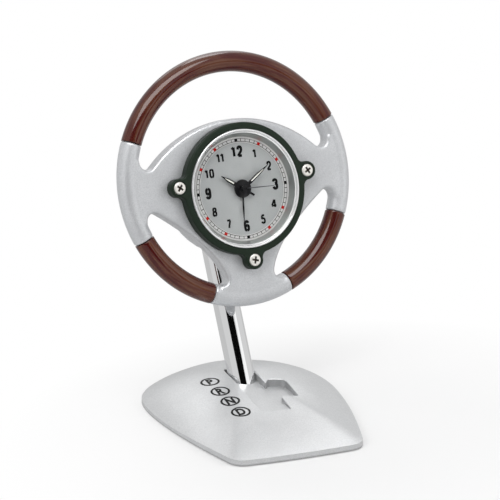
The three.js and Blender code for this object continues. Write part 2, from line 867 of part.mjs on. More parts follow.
// Laminated stator: a ring round the rotor, an arm and the core that the coil is wound on
function stator() {
  const low = statorFront - statorThickness;
  const { x, y } = rotorCentre;
  const coreEnd = coilX + coilLength / 2 + coreWidth / 2;
  const ring = bar(statorRing, low, statorFront, x, y, mediumSides);
  const core = block([x, coilY - coreWidth / 2, low], [coreEnd, coilY + coreWidth / 2, statorFront]);
  const hole = bar(magnetRadius + gap, low - overrun, statorFront + overrun, x, y, mediumSides);
  return join([ring, core]).subtract(hole);
}

function coil() {
  const middle = statorFront - statorThickness / 2;
  const geometry = new THREE.CylinderGeometry(coilRadius, coilRadius, coilLength, mediumSides);
  geometry.rotateZ(Math.PI / 2);
  geometry.translate(coilX, coilY, middle);
  const along = coilLength / 2 + overrun;
  const across = coreWidth / 2 + gap;
  const tall = statorThickness / 2 + gap;
  const tunnel = block(
    [coilX - along, coilY - across, middle - tall],
    [coilX + along, coilY + across, middle + tall],
  );
  return solid(geometry).subtract(tunnel);
}

// Board under the works, cut straight along its top
function circuitBoard() {
  const radius = caseRadius - caseWall - gap;
  const low = boardFront - boardThickness;
  const disc = bar(radius, low, boardFront, 0, 0, largeSides);
  const upper = block([-radius, boardTop, low - overrun], [radius, radius, boardFront + overrun]);
  return disc.subtract(upper);
}

// Blade of a hand with its boss round a pipe, turned clockwise from twelve
function hand({ back, boss, hole, reach, halfWidth, tail, angle }) {
  const front = back + handThickness;
  const shoulder = (boss + reach) / 2;
  const shape = new THREE.Shape([
    new THREE.Vector2(-halfWidth / 2, -tail),
    new THREE.Vector2(halfWidth / 2, -tail),
    new THREE.Vector2(halfWidth, boss),
    new THREE.Vector2(halfWidth, shoulder),
    new THREE.Vector2(tipHalfWidth, reach),
    new THREE.Vector2(-tipHalfWidth, reach),
    new THREE.Vector2(-halfWidth, shoulder),
    new THREE.Vector2(-halfWidth, boss),
  ]);
  const blade = prism(shape, back, front);
  const disc = bar(boss, back, front, 0, 0, mediumSides);
  const eye = bar(hole, back - overrun, front + overrun);
  const turn = THREE.MathUtils.radToDeg(-angle);
  return join([blade, disc]).subtract(eye).rotate([0, 0, turn]);
}

const handEye = runningGap / 2;

function hourHand() {
  return hand({
    back: hourHandBack,
    boss: hourBoss,
    hole: hourPipe + handEye,
    reach: hourReach,
    halfWidth: hourHalfWidth,
    tail: hourTail,
    angle: hourAngle,
  });
}

function minuteHand() {
  return hand({
    back: minuteHandBack,
    boss: minuteBoss,
    hole: minutePipe + handEye,
    reach: minuteReach,
    halfWidth: minuteHalfWidth,
    tail: minuteBoss,
    angle: minuteAngle,
  });
}

function alarmHand() {
  return hand({
    back: alarmHandBack,
    boss: alarmBoss,
    hole: alarmPipe + handEye,
    reach: alarmReach,
    halfWidth: alarmHalfWidth,
    tail: alarmBoss,
    angle: alarmAngle,
  });
}

function secondHand() {
  const front = secondHandBack + handThickness;
  const hole = secondArbor + handEye;
  const blade = hand({
    back: secondHandBack,
    boss: secondBoss,
    hole,
    reach: secondReach,
    halfWidth: slimHalfWidth,
    tail: secondBoss,
    angle: secondAngle,
  });
  const cap = bar(secondBoss, front - handThickness / 2, front + hubCapThickness, 0, 0, mediumSides);
  return join([blade, cap]).subtract(bar(hole, secondHandBack - overrun, front + runningGap));
}

// Knob with ribs round its edge and a blind hole for its arbor
function knob(centre) {
  const points = [];
  for (let i = 0; i < knobRibs * 2; i++) {
    const radius = i % 2 ? knobRadius - knobRibDepth : knobRadius;
    points.push(onAngle(radius, (Math.PI * i) / knobRibs).add(centre));
  }
  const front = coverBack - gap;
  const body = prism(new THREE.Shape(points), front - knobHeight, front);
  const hole = bar(setterArbor + runningGap / 2, arborEnd - gap, front + overrun, centre.x, centre.y);
  return body.subtract(hole);
}

function batteryCap() {
  const front = coverBack + coverThickness;
  const reach = capRadius * slotReachShare;
  return cut(bar(capRadius, capBack, front, 0, cellY, mediumSides), [
    block(
      [-reach, cellY - slotWidth / 2, capBack - overrun],
      [reach, cellY + slotWidth / 2, capBack + slotDepth],
    ),
  ]);
}

// Slide switch at the off end of its slot, with a flange behind the cover
function alarmSwitch() {
  const middle = -switchThrow / 2;
  const reach = switchWidth / 2;
  const rise = switchTall / 2;
  const flangeLow = coverFront + gap;
  const stem = block(
    [middle - reach, switchY - rise, coverBack - switchRise],
    [middle + reach, switchY + rise, flangeLow + switchFlange / 2],
  );
  const flange = block(
    [middle - reach - switchFlange, switchY - rise - switchFlange, flangeLow],
    [middle + reach + switchFlange, switchY + rise + switchFlange, flangeLow + switchFlange],
  );
  return join([stem, flange]);
}

// The column's own axes: z along it from where it enters the base, y towards its back
const footY = rimCentreY - footAhead;
const footDrop = footLevel - floorToRimCentre;
const columnTurn = columnLean - wheelTilt;
const footInClock = new THREE.Vector2(
  -footAhead * Math.sin(wheelTilt) + footDrop * Math.cos(wheelTilt) + clockDrop,
  footAhead * Math.cos(wheelTilt) + footDrop * Math.sin(wheelTilt),
);

function columnLength(y) {
  return (y - footInClock.x) / Math.cos(columnTurn);
}

const degrees = (angle) => THREE.MathUtils.radToDeg(angle);

// Moves a solid from the column's axes to the clock's
function columnToClock(body) {
  const turn = -degrees(Math.PI / 2 + columnTurn);
  return body.rotate([turn, 0, 0]).translate([0, footInClock.x, footInClock.y]);
}

// Moves a solid from the column's axes to the base's
function columnToBase(body) {
  const leaning = body.rotate([-degrees(columnLean), 0, 0]);
  return leaning.rotate([0, 0, -degrees(baseTurn)]).translate([0, 0, footLevel]);
}

const tubeTop = columnLength(neckTop - tubeTopInset);
const neckScrewAlong = columnLength(neckScrewY);
const neckBackDepth = tubeRadius + gap + neckWall;
const levelFloor = socketFloor + gap - footLevel;

// Cuts the lower end of a column piece level with the floor
function levelled(body) {
  const size = baseHalfWidth;
  const below = block([-size, -size, levelFloor - size], [size, size, levelFloor]);
  const turn = degrees(columnLean);
  return body.rotate([-turn, 0, 0]).subtract(below).rotate([turn, 0, 0]);
}

// Bar from the column's axis towards its back
function radialBar(radius, low, high) {
  return bar(radius, low, high).rotate([-90, 0, 0]).translate([0, 0, neckScrewAlong]);
}

function columnTube() {
  const low = -(footLevel / Math.cos(columnLean)) - tubeRadius;
  const tube = pipe(tubeRadius, tubeRadius - tubeWall, low, tubeTop);
  return levelled(tube.subtract(radialBar(screwShank + gap, 0, tubeRadius + overrun)));
}

// The bolt stands upright, under the middle of the column's level end
const boltAhead = (footLevel - socketFloor) * Math.tan(columnLean);
const boltPlace = new THREE.Vector2(0, -boltAhead).rotateAround(axis, -baseTurn);

function columnPlug() {
  const plug = bar(tubeRadius - tubeWall - gap, -footLevel, plugLength, 0, 0, mediumSides);
  const turn = degrees(columnLean);
  const top = boltHeadTop + boltLength + gap - footLevel;
  const hole = bar(boltRadius + runningGap, -footLevel, top, 0, -boltAhead).rotate([turn, 0, 0]);
  return levelled(plug).subtract(hole);
}

function neckScrew() {
  const seat = neckBackDepth + gap;
  return largeScrew(neckScrewLength).rotate([-90, 0, 0]).translate([0, seat, neckScrewAlong]);
}

// Rear housing: a round cup behind the hub, with screw ears and the neck that holds the column
function rearHousing() {
  const front = hubBack - gap;
  const inner = housingRadius - housingWall;
  const innerBack = housingBack + housingWall;
  const corner = new THREE.Vector2(housingRadius - housingRound, housingBack + housingRound);
  const innerRound = housingRound - housingWall;
  const outerCorner = arcAbout(corner, housingRound, 0, -Math.PI / 2, cornerSteps, true);
  const innerCorner = arcAbout(corner, innerRound, -Math.PI / 2, 0, bevelSteps);
  const cup = turned([
    [housingRadius, front],
    ...outerCorner.map(({ x, y }) => [x, y]),
    [0, housingBack],
    [0, innerBack],
    ...innerCorner.map(({ x, y }) => [x, y]),
    [inner, front],
  ]);
  const view = bar(windowRadius, housingBack - overrun, innerBack + overrun, 0, 0, largeSides);
  const sill = block(
    [-windowRadius, -windowRadius, housingBack - 2 * overrun],
    [windowRadius, windowFloor, innerBack + 2 * overrun],
  );
  const earBack = front - earThickness;
  const ears = screwAngles.map((angle) => join([
    bar(earRadius, earBack, front, screwRing, 0),
    block([inner + housingWall / 4, -earRadius, earBack], [screwRing, earRadius, front]),
  ]).rotate([0, 0, degrees(angle)]));
  const holes = screwPlaces.map(([x, y]) => (
    bar(screwShank + runningGap, earBack - overrun, front + overrun, x, y)
  ));
  return cut(join([cut(cup, [view.subtract(sill)]), neck(), ...ears]), [
    columnToClock(bar(tubeRadius + gap, 0, tubeTop + gap, 0, 0, mediumSides)),
    columnToClock(radialBar(screwShank + gap, 0, neckBackDepth + 2 * housingRound)),
    ...holes,
  ]);
}

// Neck drawn from the side, along the column's back, and extruded across
function neck() {
  const rise = Math.tan(columnTurn);
  const depth = neckBackDepth / Math.cos(columnTurn);
  const backAt = (y) => footInClock.y - (y - footInClock.x) * rise - depth;
  const seam = housingBack + housingWall / 2;
  const heel = -housingRadius + housingWall / 3;
  const shape = new THREE.Shape();
  shape.moveTo(heel, seam + housingRound);
  shape.lineTo(neckFoot, backAt(neckFoot));
  shape.lineTo(neckTop - neckCurve, backAt(neckTop - neckCurve));
  shape.quadraticCurveTo(neckTop, backAt(neckTop), neckTop, backAt(neckTop) + neckCurve);
  shape.lineTo(neckTop, seam);
  shape.lineTo(heel + housingRound, seam);
  const geometry = new THREE.ExtrudeGeometry(shape, {
    depth: 2 * (neckHalfWidth - neckRound),
    bevelThickness: neckRound,
    bevelSize: neckRound,
    bevelOffset: -neckRound,
    bevelSegments: bevelSteps,
    curveSegments: filletSteps,
  });
  geometry.translate(0, 0, neckRound - neckHalfWidth);
  const acrossToX = new THREE.Matrix4().makeBasis(
    new THREE.Vector3(0, 1, 0),
    new THREE.Vector3(0, 0, 1),
    new THREE.Vector3(1, 0, 0),
  );
  geometry.applyMatrix4(acrossToX);
  return solid(geometry);
}

// Outline of the base about the column's foot, scaled by a share
function baseOutline(share = 1) {
  const place = ([across, along], side, ahead) => [
    side * across * baseHalfWidth * share,
    (ahead ? -along * baseFront : along * baseBack) * share,
  ];
  const shape = new THREE.Shape();
  shape.moveTo(0, -baseFront * share);
  const right = (point, ahead) => place(point, 1, ahead);
  const left = (point, ahead) => place(point, -1, ahead);
  shape.quadraticCurveTo(frontEdgeShares[0] * baseHalfWidth * share / 2, -baseFront * share,
    ...right(frontEdgeShares, true));
  shape.quadraticCurveTo(...right(frontCurveShares, true), ...right(frontCornerShares, true));
  shape.bezierCurveTo(...right(sideCurveShares[0], true), ...right(sideCurveShares[1], true),
    ...right(widestShares, true));
  [rearSideShares, rearCornerShares, rearEdgeShares].forEach((curve) => {
    shape.bezierCurveTo(...curve.flatMap((point) => right(point, false)));
  });
  const back = [[rearEdgeShares[1], rearEdgeShares[0], rearCornerShares[2]],
    [rearCornerShares[1], rearCornerShares[0], rearSideShares[2]]];
  back.forEach((curve) => shape.bezierCurveTo(...curve.flatMap((point) => left(point, false))));
  shape.bezierCurveTo(...left(rearSideShares[1], false), ...left(rearSideShares[0], false),
    ...left(widestShares, true));
  shape.bezierCurveTo(...left(sideCurveShares[1], true), ...left(sideCurveShares[0], true),
    ...left(frontCornerShares, true));
  shape.quadraticCurveTo(...left(frontCurveShares, true), ...left(frontEdgeShares, true));
  shape.quadraticCurveTo(-frontEdgeShares[0] * baseHalfWidth * share / 2, -baseFront * share,
    0, -baseFront * share);
  return shape;
}

// Flat layer of the base, the outline at a share of its size
function baseLayer(share, low, high) {
  return prism(baseOutline(share), low, high, outlineCurveSteps).translate([baseShift, 0, 0]);
}

// Dome height over the floor, at a share of the way out to a point of the outline
function domeAt(point, share) {
  const ahead = THREE.MathUtils.smoothstep(-point.y / baseFront, ...frontFadeShares);
  const lip = THREE.MathUtils.lerp(sideLip, frontLip, ahead);
  const power = THREE.MathUtils.lerp(sideSlopePower, frontSlopePower, ahead);
  return lip + (domeHeight - lip) * (1 - share ** power);
}

// Closed dome: a flat foot, then rings that shrink towards the top; inset moves its surface inwards
function domeSolid(inset, floor) {
  const outline = baseOutline().getSpacedPoints(outlineSteps).slice(0, outlineSteps);
  const shrink = inset / baseHalfWidth;
  const rings = ringShares.map((share) => outline.map((point) => {
    const height = Math.max(domeAt(point, share) - inset, floor + leastRise);
    return [point.x * (share - shrink * share), point.y * (share - shrink * share), height];
  }));
  const foot = outline.map((point) => [point.x * (1 - shrink), point.y * (1 - shrink), floor]);
  const levels = [foot, ...rings];
  const places = levels.flat(2);
  const corners = [];
  const count = outline.length;
  for (let level = 0; level + 1 < levels.length; level++) {
    for (let i = 0; i < count; i++) {
      const a = level * count + i;
      const b = level * count + ((i + 1) % count);
      corners.push(a, b, b + count, a, b + count, a + count);
    }
  }
  const under = places.length / 3;
  places.push(0, 0, floor, 0, 0, domeHeight - inset);
  const top = (levels.length - 1) * count;
  for (let i = 0; i < count; i++) {
    const next = (i + 1) % count;
    corners.push(under, next, i, under + 1, top + i, top + next);
  }
  const geometry = new THREE.BufferGeometry();
  geometry.setAttribute('position', new THREE.Float32BufferAttribute(places, 3));
  geometry.setIndex(corners);
  return solid(geometry).translate([baseShift, 0, 0]);
}

// Gate recess: the bay round the column, a second bay beside it and the lane between them
function gateShape() {
  return new THREE.Shape([
    [-gateLeft, gateBack],
    [gateRight, gateBack],
    [gateRight, tongueEnd],
    [bayLeft, bayBack],
    [bayCorner, bayCornerY],
    [bayRight, bayRightY],
    [bayRight, bayStep],
    [laneRight, bayStep],
    [laneRight, gateFront],
    [-gateLeft, gateFront],
  ].map(([x, y]) => new THREE.Vector2(x, y)).reverse());
}

function gateCut(floor) {
  return prism(gateShape(), 0, domeHeight).rotate([0, gateTilt, 0]).translate([0, 0, floor]);
}

const plateLow = padThickness + gap;
const plateTop = plateLow + plateThickness;
const socketUnder = socketFloor - socketFloorThickness;
const washerLow = socketUnder - gap - washerThickness;
const boltHeadTop = washerLow - gap;

function baseShell() {
  const outer = domeSolid(0, lipFloor);
  const socketRadius = tubeRadius + gap + socketWall;
  const socket = columnToBase(bar(socketRadius, -2 * footLevel, footLevel, 0, 0, mediumSides));
  const underCut = block(
    [-baseHalfWidth, -baseFront, -footLevel],
    [baseHalfWidth, baseBack, socketUnder],
  );
  const posts = bottomPlaces.map(([x, y]) => bar(bottomPostRadius, plateTop + gap, domeHeight, x, y));
  const pan = gateCut(footLevel - gatePan);
  const kept = join([socket.subtract(underCut), pan, ...posts]);
  const cavity = domeSolid(shellWall, -overrun).subtract(kept);
  const bore = columnToBase(levelled(bar(tubeRadius + gap, -2 * footLevel, footLevel, 0, 0, mediumSides)));
  return cut(outer.subtract(cavity), [
    gateCut(footLevel),
    bore.translate([0, 0, -gap]),
    bar(boltRadius + gap, 0, footLevel, boltPlace.x, boltPlace.y),
    ...bottomPlaces.map(([x, y]) => (
      bar(bottomScrewShank + runningGap, 0, plateLow + bottomScrewHeadHeight + bottomScrewLength + gap, x, y)
    )),
  ]);
}

function basePlate() {
  const recessTop = plateLow + bottomScrewHeadHeight + runningGap;
  return cut(baseLayer(plateShare, plateLow, plateTop), [
    bar(washerRadius + gap, 0, domeHeight, boltPlace.x, boltPlace.y, mediumSides),
    ...bottomPlaces.map(([x, y]) => bar(bottomScrewShank + gap, 0, domeHeight, x, y)),
    ...bottomPlaces.map(([x, y]) => bar(bottomScrewHead + runningGap, 0, recessTop, x, y, mediumSides)),
  ]);
}

function baseWeight() {
  const low = plateTop + gap;
  const reach = 2 * footLevel;
  const around = columnToBase(bar(tubeRadius + socketWall + 2 * gap, -reach, reach, 0, 0, mediumSides));
  return baseLayer(weightShare, low, low + weightThickness).subtract(around);
}

// Materials by what the pieces are made of
const silverPaint = [0xbfc1c2, 0.34, 0.55];
const woodFinish = [0x5c1d10, 0.16, 0];
const blackPlastic = [0x1d231b, 0.42, 0];
const chrome = [0xe4e6e8, 0.08, 1];
const steel = [0xb9bbbd, 0.3, 1];
const brass = [0xc29a4a, 0.35, 1];
const whitePlastic = [0xe9e7e0, 0.5, 0];
const dialSilver = [0xc6c8c9, 0.45, 0.4];
const glass = [0xf4f8fa, 0.03, 0];
const copper = [0xb8683a, 0.4, 1];
const boardGreen = [0x1f6b3c, 0.5, 0];
const foam = [0x25272a, 0.9, 0];

function group(children, place = [0, 0, 0], turn = [0, 0, 0]) {
  const result = new THREE.Group();
  result.position.set(...place);
  result.rotation.set(...turn);
  result.add(...children);
  return result;
}

const clampScrewLength = clampFront - screwHeadHeight - (hubBack - gap - earThickness) - gap;
const clampScrew = largeScrew(clampScrewLength);
const clampScrews = screwPlaces.map(([x, y], i) => (
  mesh(`clamp_screw_${i + 1}`, clampScrew.translate([x, y, clampFront - screwHeadHeight]), ...steel)
));

const cellLow = coverFront + gap;
const cellHigh = cellLow + cellThickness;
const buzzerFront = cellLow + buzzerThickness;
const dialBack = dialFront - dialThickness;
const dialEdge = bezelInner - gap;
const trackBack = dialFront + trackEdgeGap;
const trackFront = trackBack + trackThickness;
const crystalEdge = bezelInner + glassSeat - gap;
const crystalFront = glassBack + glassThickness;
const contactEdge = cellY + cellRadius + gap;

function backContact() {
  const low = cellHigh + gap;
  return block(
    [-contactWidth / 2, cellY - cellRadius, low],
    [contactWidth / 2, cellY + cellRadius, low + contactThickness],
  );
}

function sideContact() {
  return block(
    [-contactWidth / 2, contactEdge, cellLow],
    [contactWidth / 2, contactEdge + contactThickness, cellHigh - gap],
  );
}

function timeSettingArbor() {
  const pinionPitch = pitch(setterDistance, setterTeeth, motionTeeth);
  return setterArborPiece(setterTeeth, pinionPitch, cannonLevel, setterCentre, setterPhase);
}

function alarmSettingArbor() {
  const pinionPitch = pitch(alarmDistance, alarmSetterTeeth, alarmTeeth);
  return setterArborPiece(alarmSetterTeeth, pinionPitch, alarmLevel, alarmSetterCentre, 0);
}

const clockFace = [
  mesh('clamp_ring', clampRing(), ...blackPlastic),
  ...clampScrews,
  mesh('bezel', bezel(), ...chrome),
  mesh('crystal', bar(crystalEdge, glassBack, crystalFront, 0, 0, largeSides), ...glass),
  mesh('dial', pipe(dialEdge, alarmPipe + runningGap, dialBack, dialFront, 0, 0, largeSides), ...dialSilver),
  mesh('minute_track', pipe(dialEdge, trackInner, trackBack, trackFront, 0, 0, largeSides), ...whitePlastic),
  mesh('hour_hand', hourHand(), ...blackPlastic),
  mesh('minute_hand', minuteHand(), ...blackPlastic),
  mesh('alarm_hand', alarmHand(), ...blackPlastic),
  mesh('second_hand', secondHand(), ...steel),
];

const clockWorks = [
  mesh('movement_case', movementCase(), ...whitePlastic),
  mesh('movement_cover', movementCover(), ...blackPlastic),
  mesh('train_bridge', trainBridge(), ...whitePlastic),
  mesh('cannon_pinion', cannonPinion(), ...brass),
  mesh('motion_wheel', motionWheel(), ...whitePlastic),
  mesh('hour_wheel', hourWheel(), ...whitePlastic),
  mesh('alarm_wheel', alarmWheel(), ...whitePlastic),
  mesh('time_setting_arbor', timeSettingArbor(), ...steel),
  mesh('alarm_setting_arbor', alarmSettingArbor(), ...steel),
  mesh('centre_wheel', centreWheel(), ...brass),
  mesh('third_wheel', thirdWheel(), ...brass),
  mesh('second_wheel', secondWheel(), ...brass),
  mesh('step_wheel', stepWheel(), ...whitePlastic),
  mesh('rotor', rotor(), ...steel),
  mesh('stator', stator(), ...steel),
  mesh('coil', coil(), ...copper),
  mesh('circuit_board', circuitBoard(), ...boardGreen),
  mesh('alarm_buzzer', bar(buzzerRadius, cellLow, buzzerFront, 0, buzzerY, mediumSides), ...brass),
  mesh('button_cell', bar(cellRadius, cellLow, cellHigh, 0, cellY, mediumSides), ...steel),
  mesh('cell_contact_back', backContact(), ...brass),
  mesh('cell_contact_side', sideContact(), ...brass),
];

const clockBack = [
  mesh('battery_cap', batteryCap(), ...blackPlastic),
  mesh('time_set_knob', knob(setterCentre), ...blackPlastic),
  mesh('alarm_set_knob', knob(alarmSetterCentre), ...blackPlastic),
  mesh('alarm_switch', alarmSwitch(), ...whitePlastic),
  mesh('rear_housing', rearHousing(), ...silverPaint),
];

const clock = group([...clockFace, ...clockWorks, ...clockBack], [0, -clockDrop, 0]);

const topSleeve = rimSleeve(sideSpan, Math.PI - sideSpan);
const leftSleeve = rimSleeve(Math.PI + sideSpan, Math.PI * 3 / 2 - stemSpan);
const rightSleeve = rimSleeve(Math.PI * 3 / 2 + stemSpan, Math.PI * 2 - sideSpan);

const wheel = group([
  mesh('wheel_body', wheelBody(), ...silverPaint),
  mesh('rim_sleeve_top', topSleeve, ...woodFinish),
  mesh('rim_sleeve_left', leftSleeve, ...woodFinish),
  mesh('rim_sleeve_right', rightSleeve, ...woodFinish),
  clock,
], [0, rimCentreY, floorToRimCentre], [Math.PI / 2 - wheelTilt, 0, 0]);

const column = group([
  mesh('column_tube', columnTube(), ...chrome),
  mesh('column_plug', columnPlug(), ...steel),
  mesh('neck_screw', neckScrew(), ...steel),
], [0, footY, footLevel], [-columnLean, 0, 0]);

const bolt = join([
  bar(boltHead, boltHeadTop - boltHeadHeight, boltHeadTop, 0, -boltAhead, boltSides),
  bar(boltRadius, boltHeadTop - boltHeadHeight / 2, boltHeadTop + boltLength, 0, -boltAhead),
]);
const washerHigh = washerLow + washerThickness;
const washer = pipe(washerRadius, boltRadius + gap, washerLow, washerHigh, 0, -boltAhead);
const fixing = group([
  mesh('column_bolt', bolt, ...steel),
  mesh('column_washer', washer, ...steel),
], [0, footY, 0]);

const bottomScrew = crossScrew(
  bottomScrewHead,
  bottomScrewHeadHeight,
  bottomScrewShank,
  bottomScrewLength,
  bottomScrewHeadHeight / 2,
).rotate([180, 0, 0]);
const bottomScrews = bottomPlaces.map(([x, y], i) => (
  mesh(`base_screw_${i + 1}`, bottomScrew.translate([x, y, plateLow + bottomScrewHeadHeight]), ...steel)
));
const base = group([
  mesh('base_shell', baseShell(), ...silverPaint),
  mesh('base_plate', basePlate(), ...blackPlastic),
  mesh('base_weight', baseWeight(), ...steel),
  mesh('base_pad', baseLayer(padShare, 0, padThickness), ...foam),
  ...bottomScrews,
], [0, footY, 0], [0, 0, baseTurn]);

export default group([wheel, column, fixing, base]);
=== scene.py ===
# %% [markdown]
# # A desk alarm clock shaped as a steering wheel
# The clock is a small cast steering wheel with an alarm clock in its hub, on a leaning chrome
# tube and a domed silver base. This script dresses them: it swaps coarse solids for smooth
# pieces of the same size, prints the dial, paints every surface and sets up the picture.

# %% Load the solids
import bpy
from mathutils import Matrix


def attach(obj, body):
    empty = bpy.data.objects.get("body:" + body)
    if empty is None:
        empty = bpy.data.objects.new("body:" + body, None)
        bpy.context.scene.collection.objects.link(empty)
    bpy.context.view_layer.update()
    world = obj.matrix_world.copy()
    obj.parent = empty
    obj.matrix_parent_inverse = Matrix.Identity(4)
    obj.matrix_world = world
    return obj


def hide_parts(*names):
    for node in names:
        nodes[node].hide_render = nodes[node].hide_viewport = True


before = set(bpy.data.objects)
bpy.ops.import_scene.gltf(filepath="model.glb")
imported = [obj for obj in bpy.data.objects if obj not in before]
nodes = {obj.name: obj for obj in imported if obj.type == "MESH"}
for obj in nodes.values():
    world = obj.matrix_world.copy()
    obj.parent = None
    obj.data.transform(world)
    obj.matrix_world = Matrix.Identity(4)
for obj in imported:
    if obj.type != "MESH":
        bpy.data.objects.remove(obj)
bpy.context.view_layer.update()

# %% Imports and units
import math
import bpy
from mathutils import Matrix, Vector

mm = 0.001

# %% [markdown]
# ## Working axes
# Pieces are easiest to model flat, in millimetres, round their own middle. Four sets of axes then
# carry them to their places: the wheel (z out of the dial), the clock insert 5 mm lower on the
# same plane, the base, which is turned a little under the wheel, and the leaning column.

# %% Axes of the wheel, the clock, the base and the column
wheel_tilt = math.radians(16.6)
column_lean = math.radians(26.2)
base_turn = math.radians(-6.5)
clock_drop = 5
foot_depth = 16.92 * mm
wheel_place = Matrix.Translation((0, 23.82 * mm, 108 * mm))
wheel_axes = wheel_place @ Matrix.Rotation(math.pi / 2 - wheel_tilt, 4, "X")
clock_axes = wheel_axes @ Matrix.Translation((0, -clock_drop * mm, 0))
base_axes = Matrix.Translation((0, foot_depth, 0)) @ Matrix.Rotation(base_turn, 4, "Z")
column_place = Matrix.Translation((0, foot_depth, 9.9 * mm))
column_axes = column_place @ Matrix.Rotation(-column_lean, 4, "X")
rim_radius = 55.1
rim_tube = 4.87
print("clock centre", clock_axes.translation)

# %% [markdown]
# ## Helpers for modelling with operators
# An operator works on whatever is selected, and the loaded solids arrive selected. So every step
# begins with nothing selected, and picks its faces or edges by their place. A finished piece is
# settled: it goes to its place in metres, gets its name and finish, and rides on its body.

# %% Select and edit
def start_fresh():
    if bpy.context.mode != "OBJECT":
        bpy.ops.object.mode_set(mode="OBJECT")
    bpy.ops.object.select_all(action="DESELECT")


def hold(piece):
    start_fresh()
    piece.select_set(True)
    bpy.context.view_layer.objects.active = piece


def pick(piece, kind, test=lambda item: True):
    hold(piece)
    data = piece.data
    for group in (data.vertices, data.edges, data.polygons):
        group.foreach_set("select", [False] * len(group))
    chosen = {"VERT": data.vertices, "EDGE": data.edges, "FACE": data.polygons}[kind]
    chosen.foreach_set("select", [bool(test(item)) for item in chosen])
    mode = tuple(kind == name for name in ("VERT", "EDGE", "FACE"))
    bpy.context.tool_settings.mesh_select_mode = mode
    bpy.ops.object.mode_set(mode="EDIT")


def bevel_level(piece, level, size, segments):
    points = piece.data.vertices
    near = 1e-4
    pick(piece, "EDGE", lambda edge: all(
        level - near <= points[i].co.z <= level + near for i in edge.vertices
    ))
    bpy.ops.mesh.bevel(offset=size, offset_type="OFFSET", segments=segments, profile=0.5)


def clean(piece, distance=1e-4):
    hold(piece)
    bpy.ops.object.mode_set(mode="EDIT")
    bpy.ops.mesh.select_all(action="SELECT")
    bpy.ops.mesh.remove_doubles(threshold=distance)
    bpy.ops.mesh.normals_make_consistent(inside=False)
    bpy.ops.object.mode_set(mode="OBJECT")


def apply_modifier(piece, kind, **settings):
    hold(piece)
    modifier = piece.modifiers.new(kind.lower(), kind)
    for key, value in settings.items():
        setattr(modifier, key, value)
    bpy.ops.object.modifier_apply(modifier=modifier.name)


def combine(piece, other, operation="DIFFERENCE", crossing=False):
    apply_modifier(
        piece, "BOOLEAN", object=other, operation=operation, solver="EXACT", use_self=crossing,
    )
    bpy.data.objects.remove(other)


def join_pieces(pieces):
    hold(pieces[0])
    for other in pieces[1:]:
        other.select_set(True)
    bpy.ops.object.join()
    return bpy.context.object

# %% Place and settle
def set_down(piece, matrix=None):
    hold(piece)
    if matrix is not None:
        piece.matrix_world = matrix
    bpy.ops.object.transform_apply(location=True, rotation=True, scale=True)
    return piece


def turned_to(piece, angle):
    return set_down(piece, Matrix.Rotation(angle, 4, "Z"))


def loop_of(count):
    start_fresh()
    bpy.ops.mesh.primitive_circle_add(vertices=count, fill_type="NOTHING")
    return bpy.context.object


def settle(piece, name, axes, body, material, angle=32):
    set_down(piece, axes @ Matrix.Scale(mm, 4))
    bpy.ops.object.shade_smooth_by_angle(angle=math.radians(angle))
    piece.name = piece.data.name = name
    piece.data.materials.clear()
    piece.data.materials.append(material)
    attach(piece, body)
    print(name, len(piece.data.polygons), "faces")


def line_faces(piece, axes, material, low, high, radius):
    piece.data.materials.append(material)
    inward = axes.inverted()
    for face in piece.data.polygons:
        place = inward @ face.center / mm
        if low < place.z < high and math.hypot(place.x, place.y) < radius:
            face.material_index = 1

# %% [markdown]
# ## Helpers for materials
# Every finish starts from the Principled shader. Patterns read Object coordinates, which are
# metres here, so a scale of 1000 turns them into millimetres and a noise scale of 2 means two
# features per millimetre.

# %% Node helpers
def principled(material):
    return material.node_tree.nodes["Principled BSDF"]


def new_finish(name, colour, metallic, roughness, constants=None):
    material = bpy.data.materials.new(name)
    material.use_nodes = True
    values = {"Base Color": (*colour, 1), "Metallic": metallic, "Roughness": roughness}
    for socket, value in {**values, **(constants or {})}.items():
        principled(material).inputs[socket].default_value = value
    print("finish", name)
    return material


def node(material, kind, inputs=None, **settings):
    made = material.node_tree.nodes.new("ShaderNode" + kind)
    for key, value in settings.items():
        setattr(made, key, value)
    for key, value in (inputs or {}).items():
        if hasattr(value, "is_output"):
            material.node_tree.links.new(value, made.inputs[key])
        else:
            made.inputs[key].default_value = value
    return made


def calculate(material, operation, *values):
    return node(material, "Math", dict(enumerate(values)), operation=operation).outputs[0]


def vector_step(material, operation, *values):
    return node(material, "VectorMath", dict(enumerate(values)), operation=operation).outputs


def split(material, vector):
    return node(material, "SeparateXYZ", {"Vector": vector}).outputs


def millimetres(material, axes=None):
    place = node(material, "TexCoord").outputs["Object"]
    if axes is not None:
        centred = vector_step(material, "SUBTRACT", place, axes.translation)[0]
        place = node(
            material, "VectorRotate", {"Vector": centred, "Rotation": axes.to_euler()},
            rotation_type="EULER_XYZ", invert=True,
        ).outputs[0]
    return node(material, "Mapping", {"Vector": place, "Scale": [1000] * 3}).outputs[0]


def noise(material, vector, scale, detail=3, roughness=0.5):
    return node(material, "TexNoise", {
        "Vector": vector, "Scale": scale, "Detail": detail, "Roughness": roughness,
    }).outputs["Fac"]


def ramp(material, factor, stops):
    made = node(material, "ValToRGB", {"Fac": factor})
    band = made.color_ramp
    while len(band.elements) < len(stops):
        band.elements.new(0.5)
    for element, (place, colour) in zip(band.elements, stops):
        element.position = place
        element.color = (*colour, 1)
    return made.outputs["Color"]


def spread(material, factor, low, high, start=0.0, end=1.0):
    return node(material, "MapRange", {
        "Value": factor, "From Min": start, "From Max": end, "To Min": low, "To Max": high,
    }).outputs[0]

# %% Links to the shader
def feed(material, socket, output):
    material.node_tree.links.new(output, principled(material).inputs[socket])


def tint(material, factor, stops):
    feed(material, "Base Color", ramp(material, factor, stops))


def gloss(material, factor, low, high):
    feed(material, "Roughness", spread(material, factor, low, high))


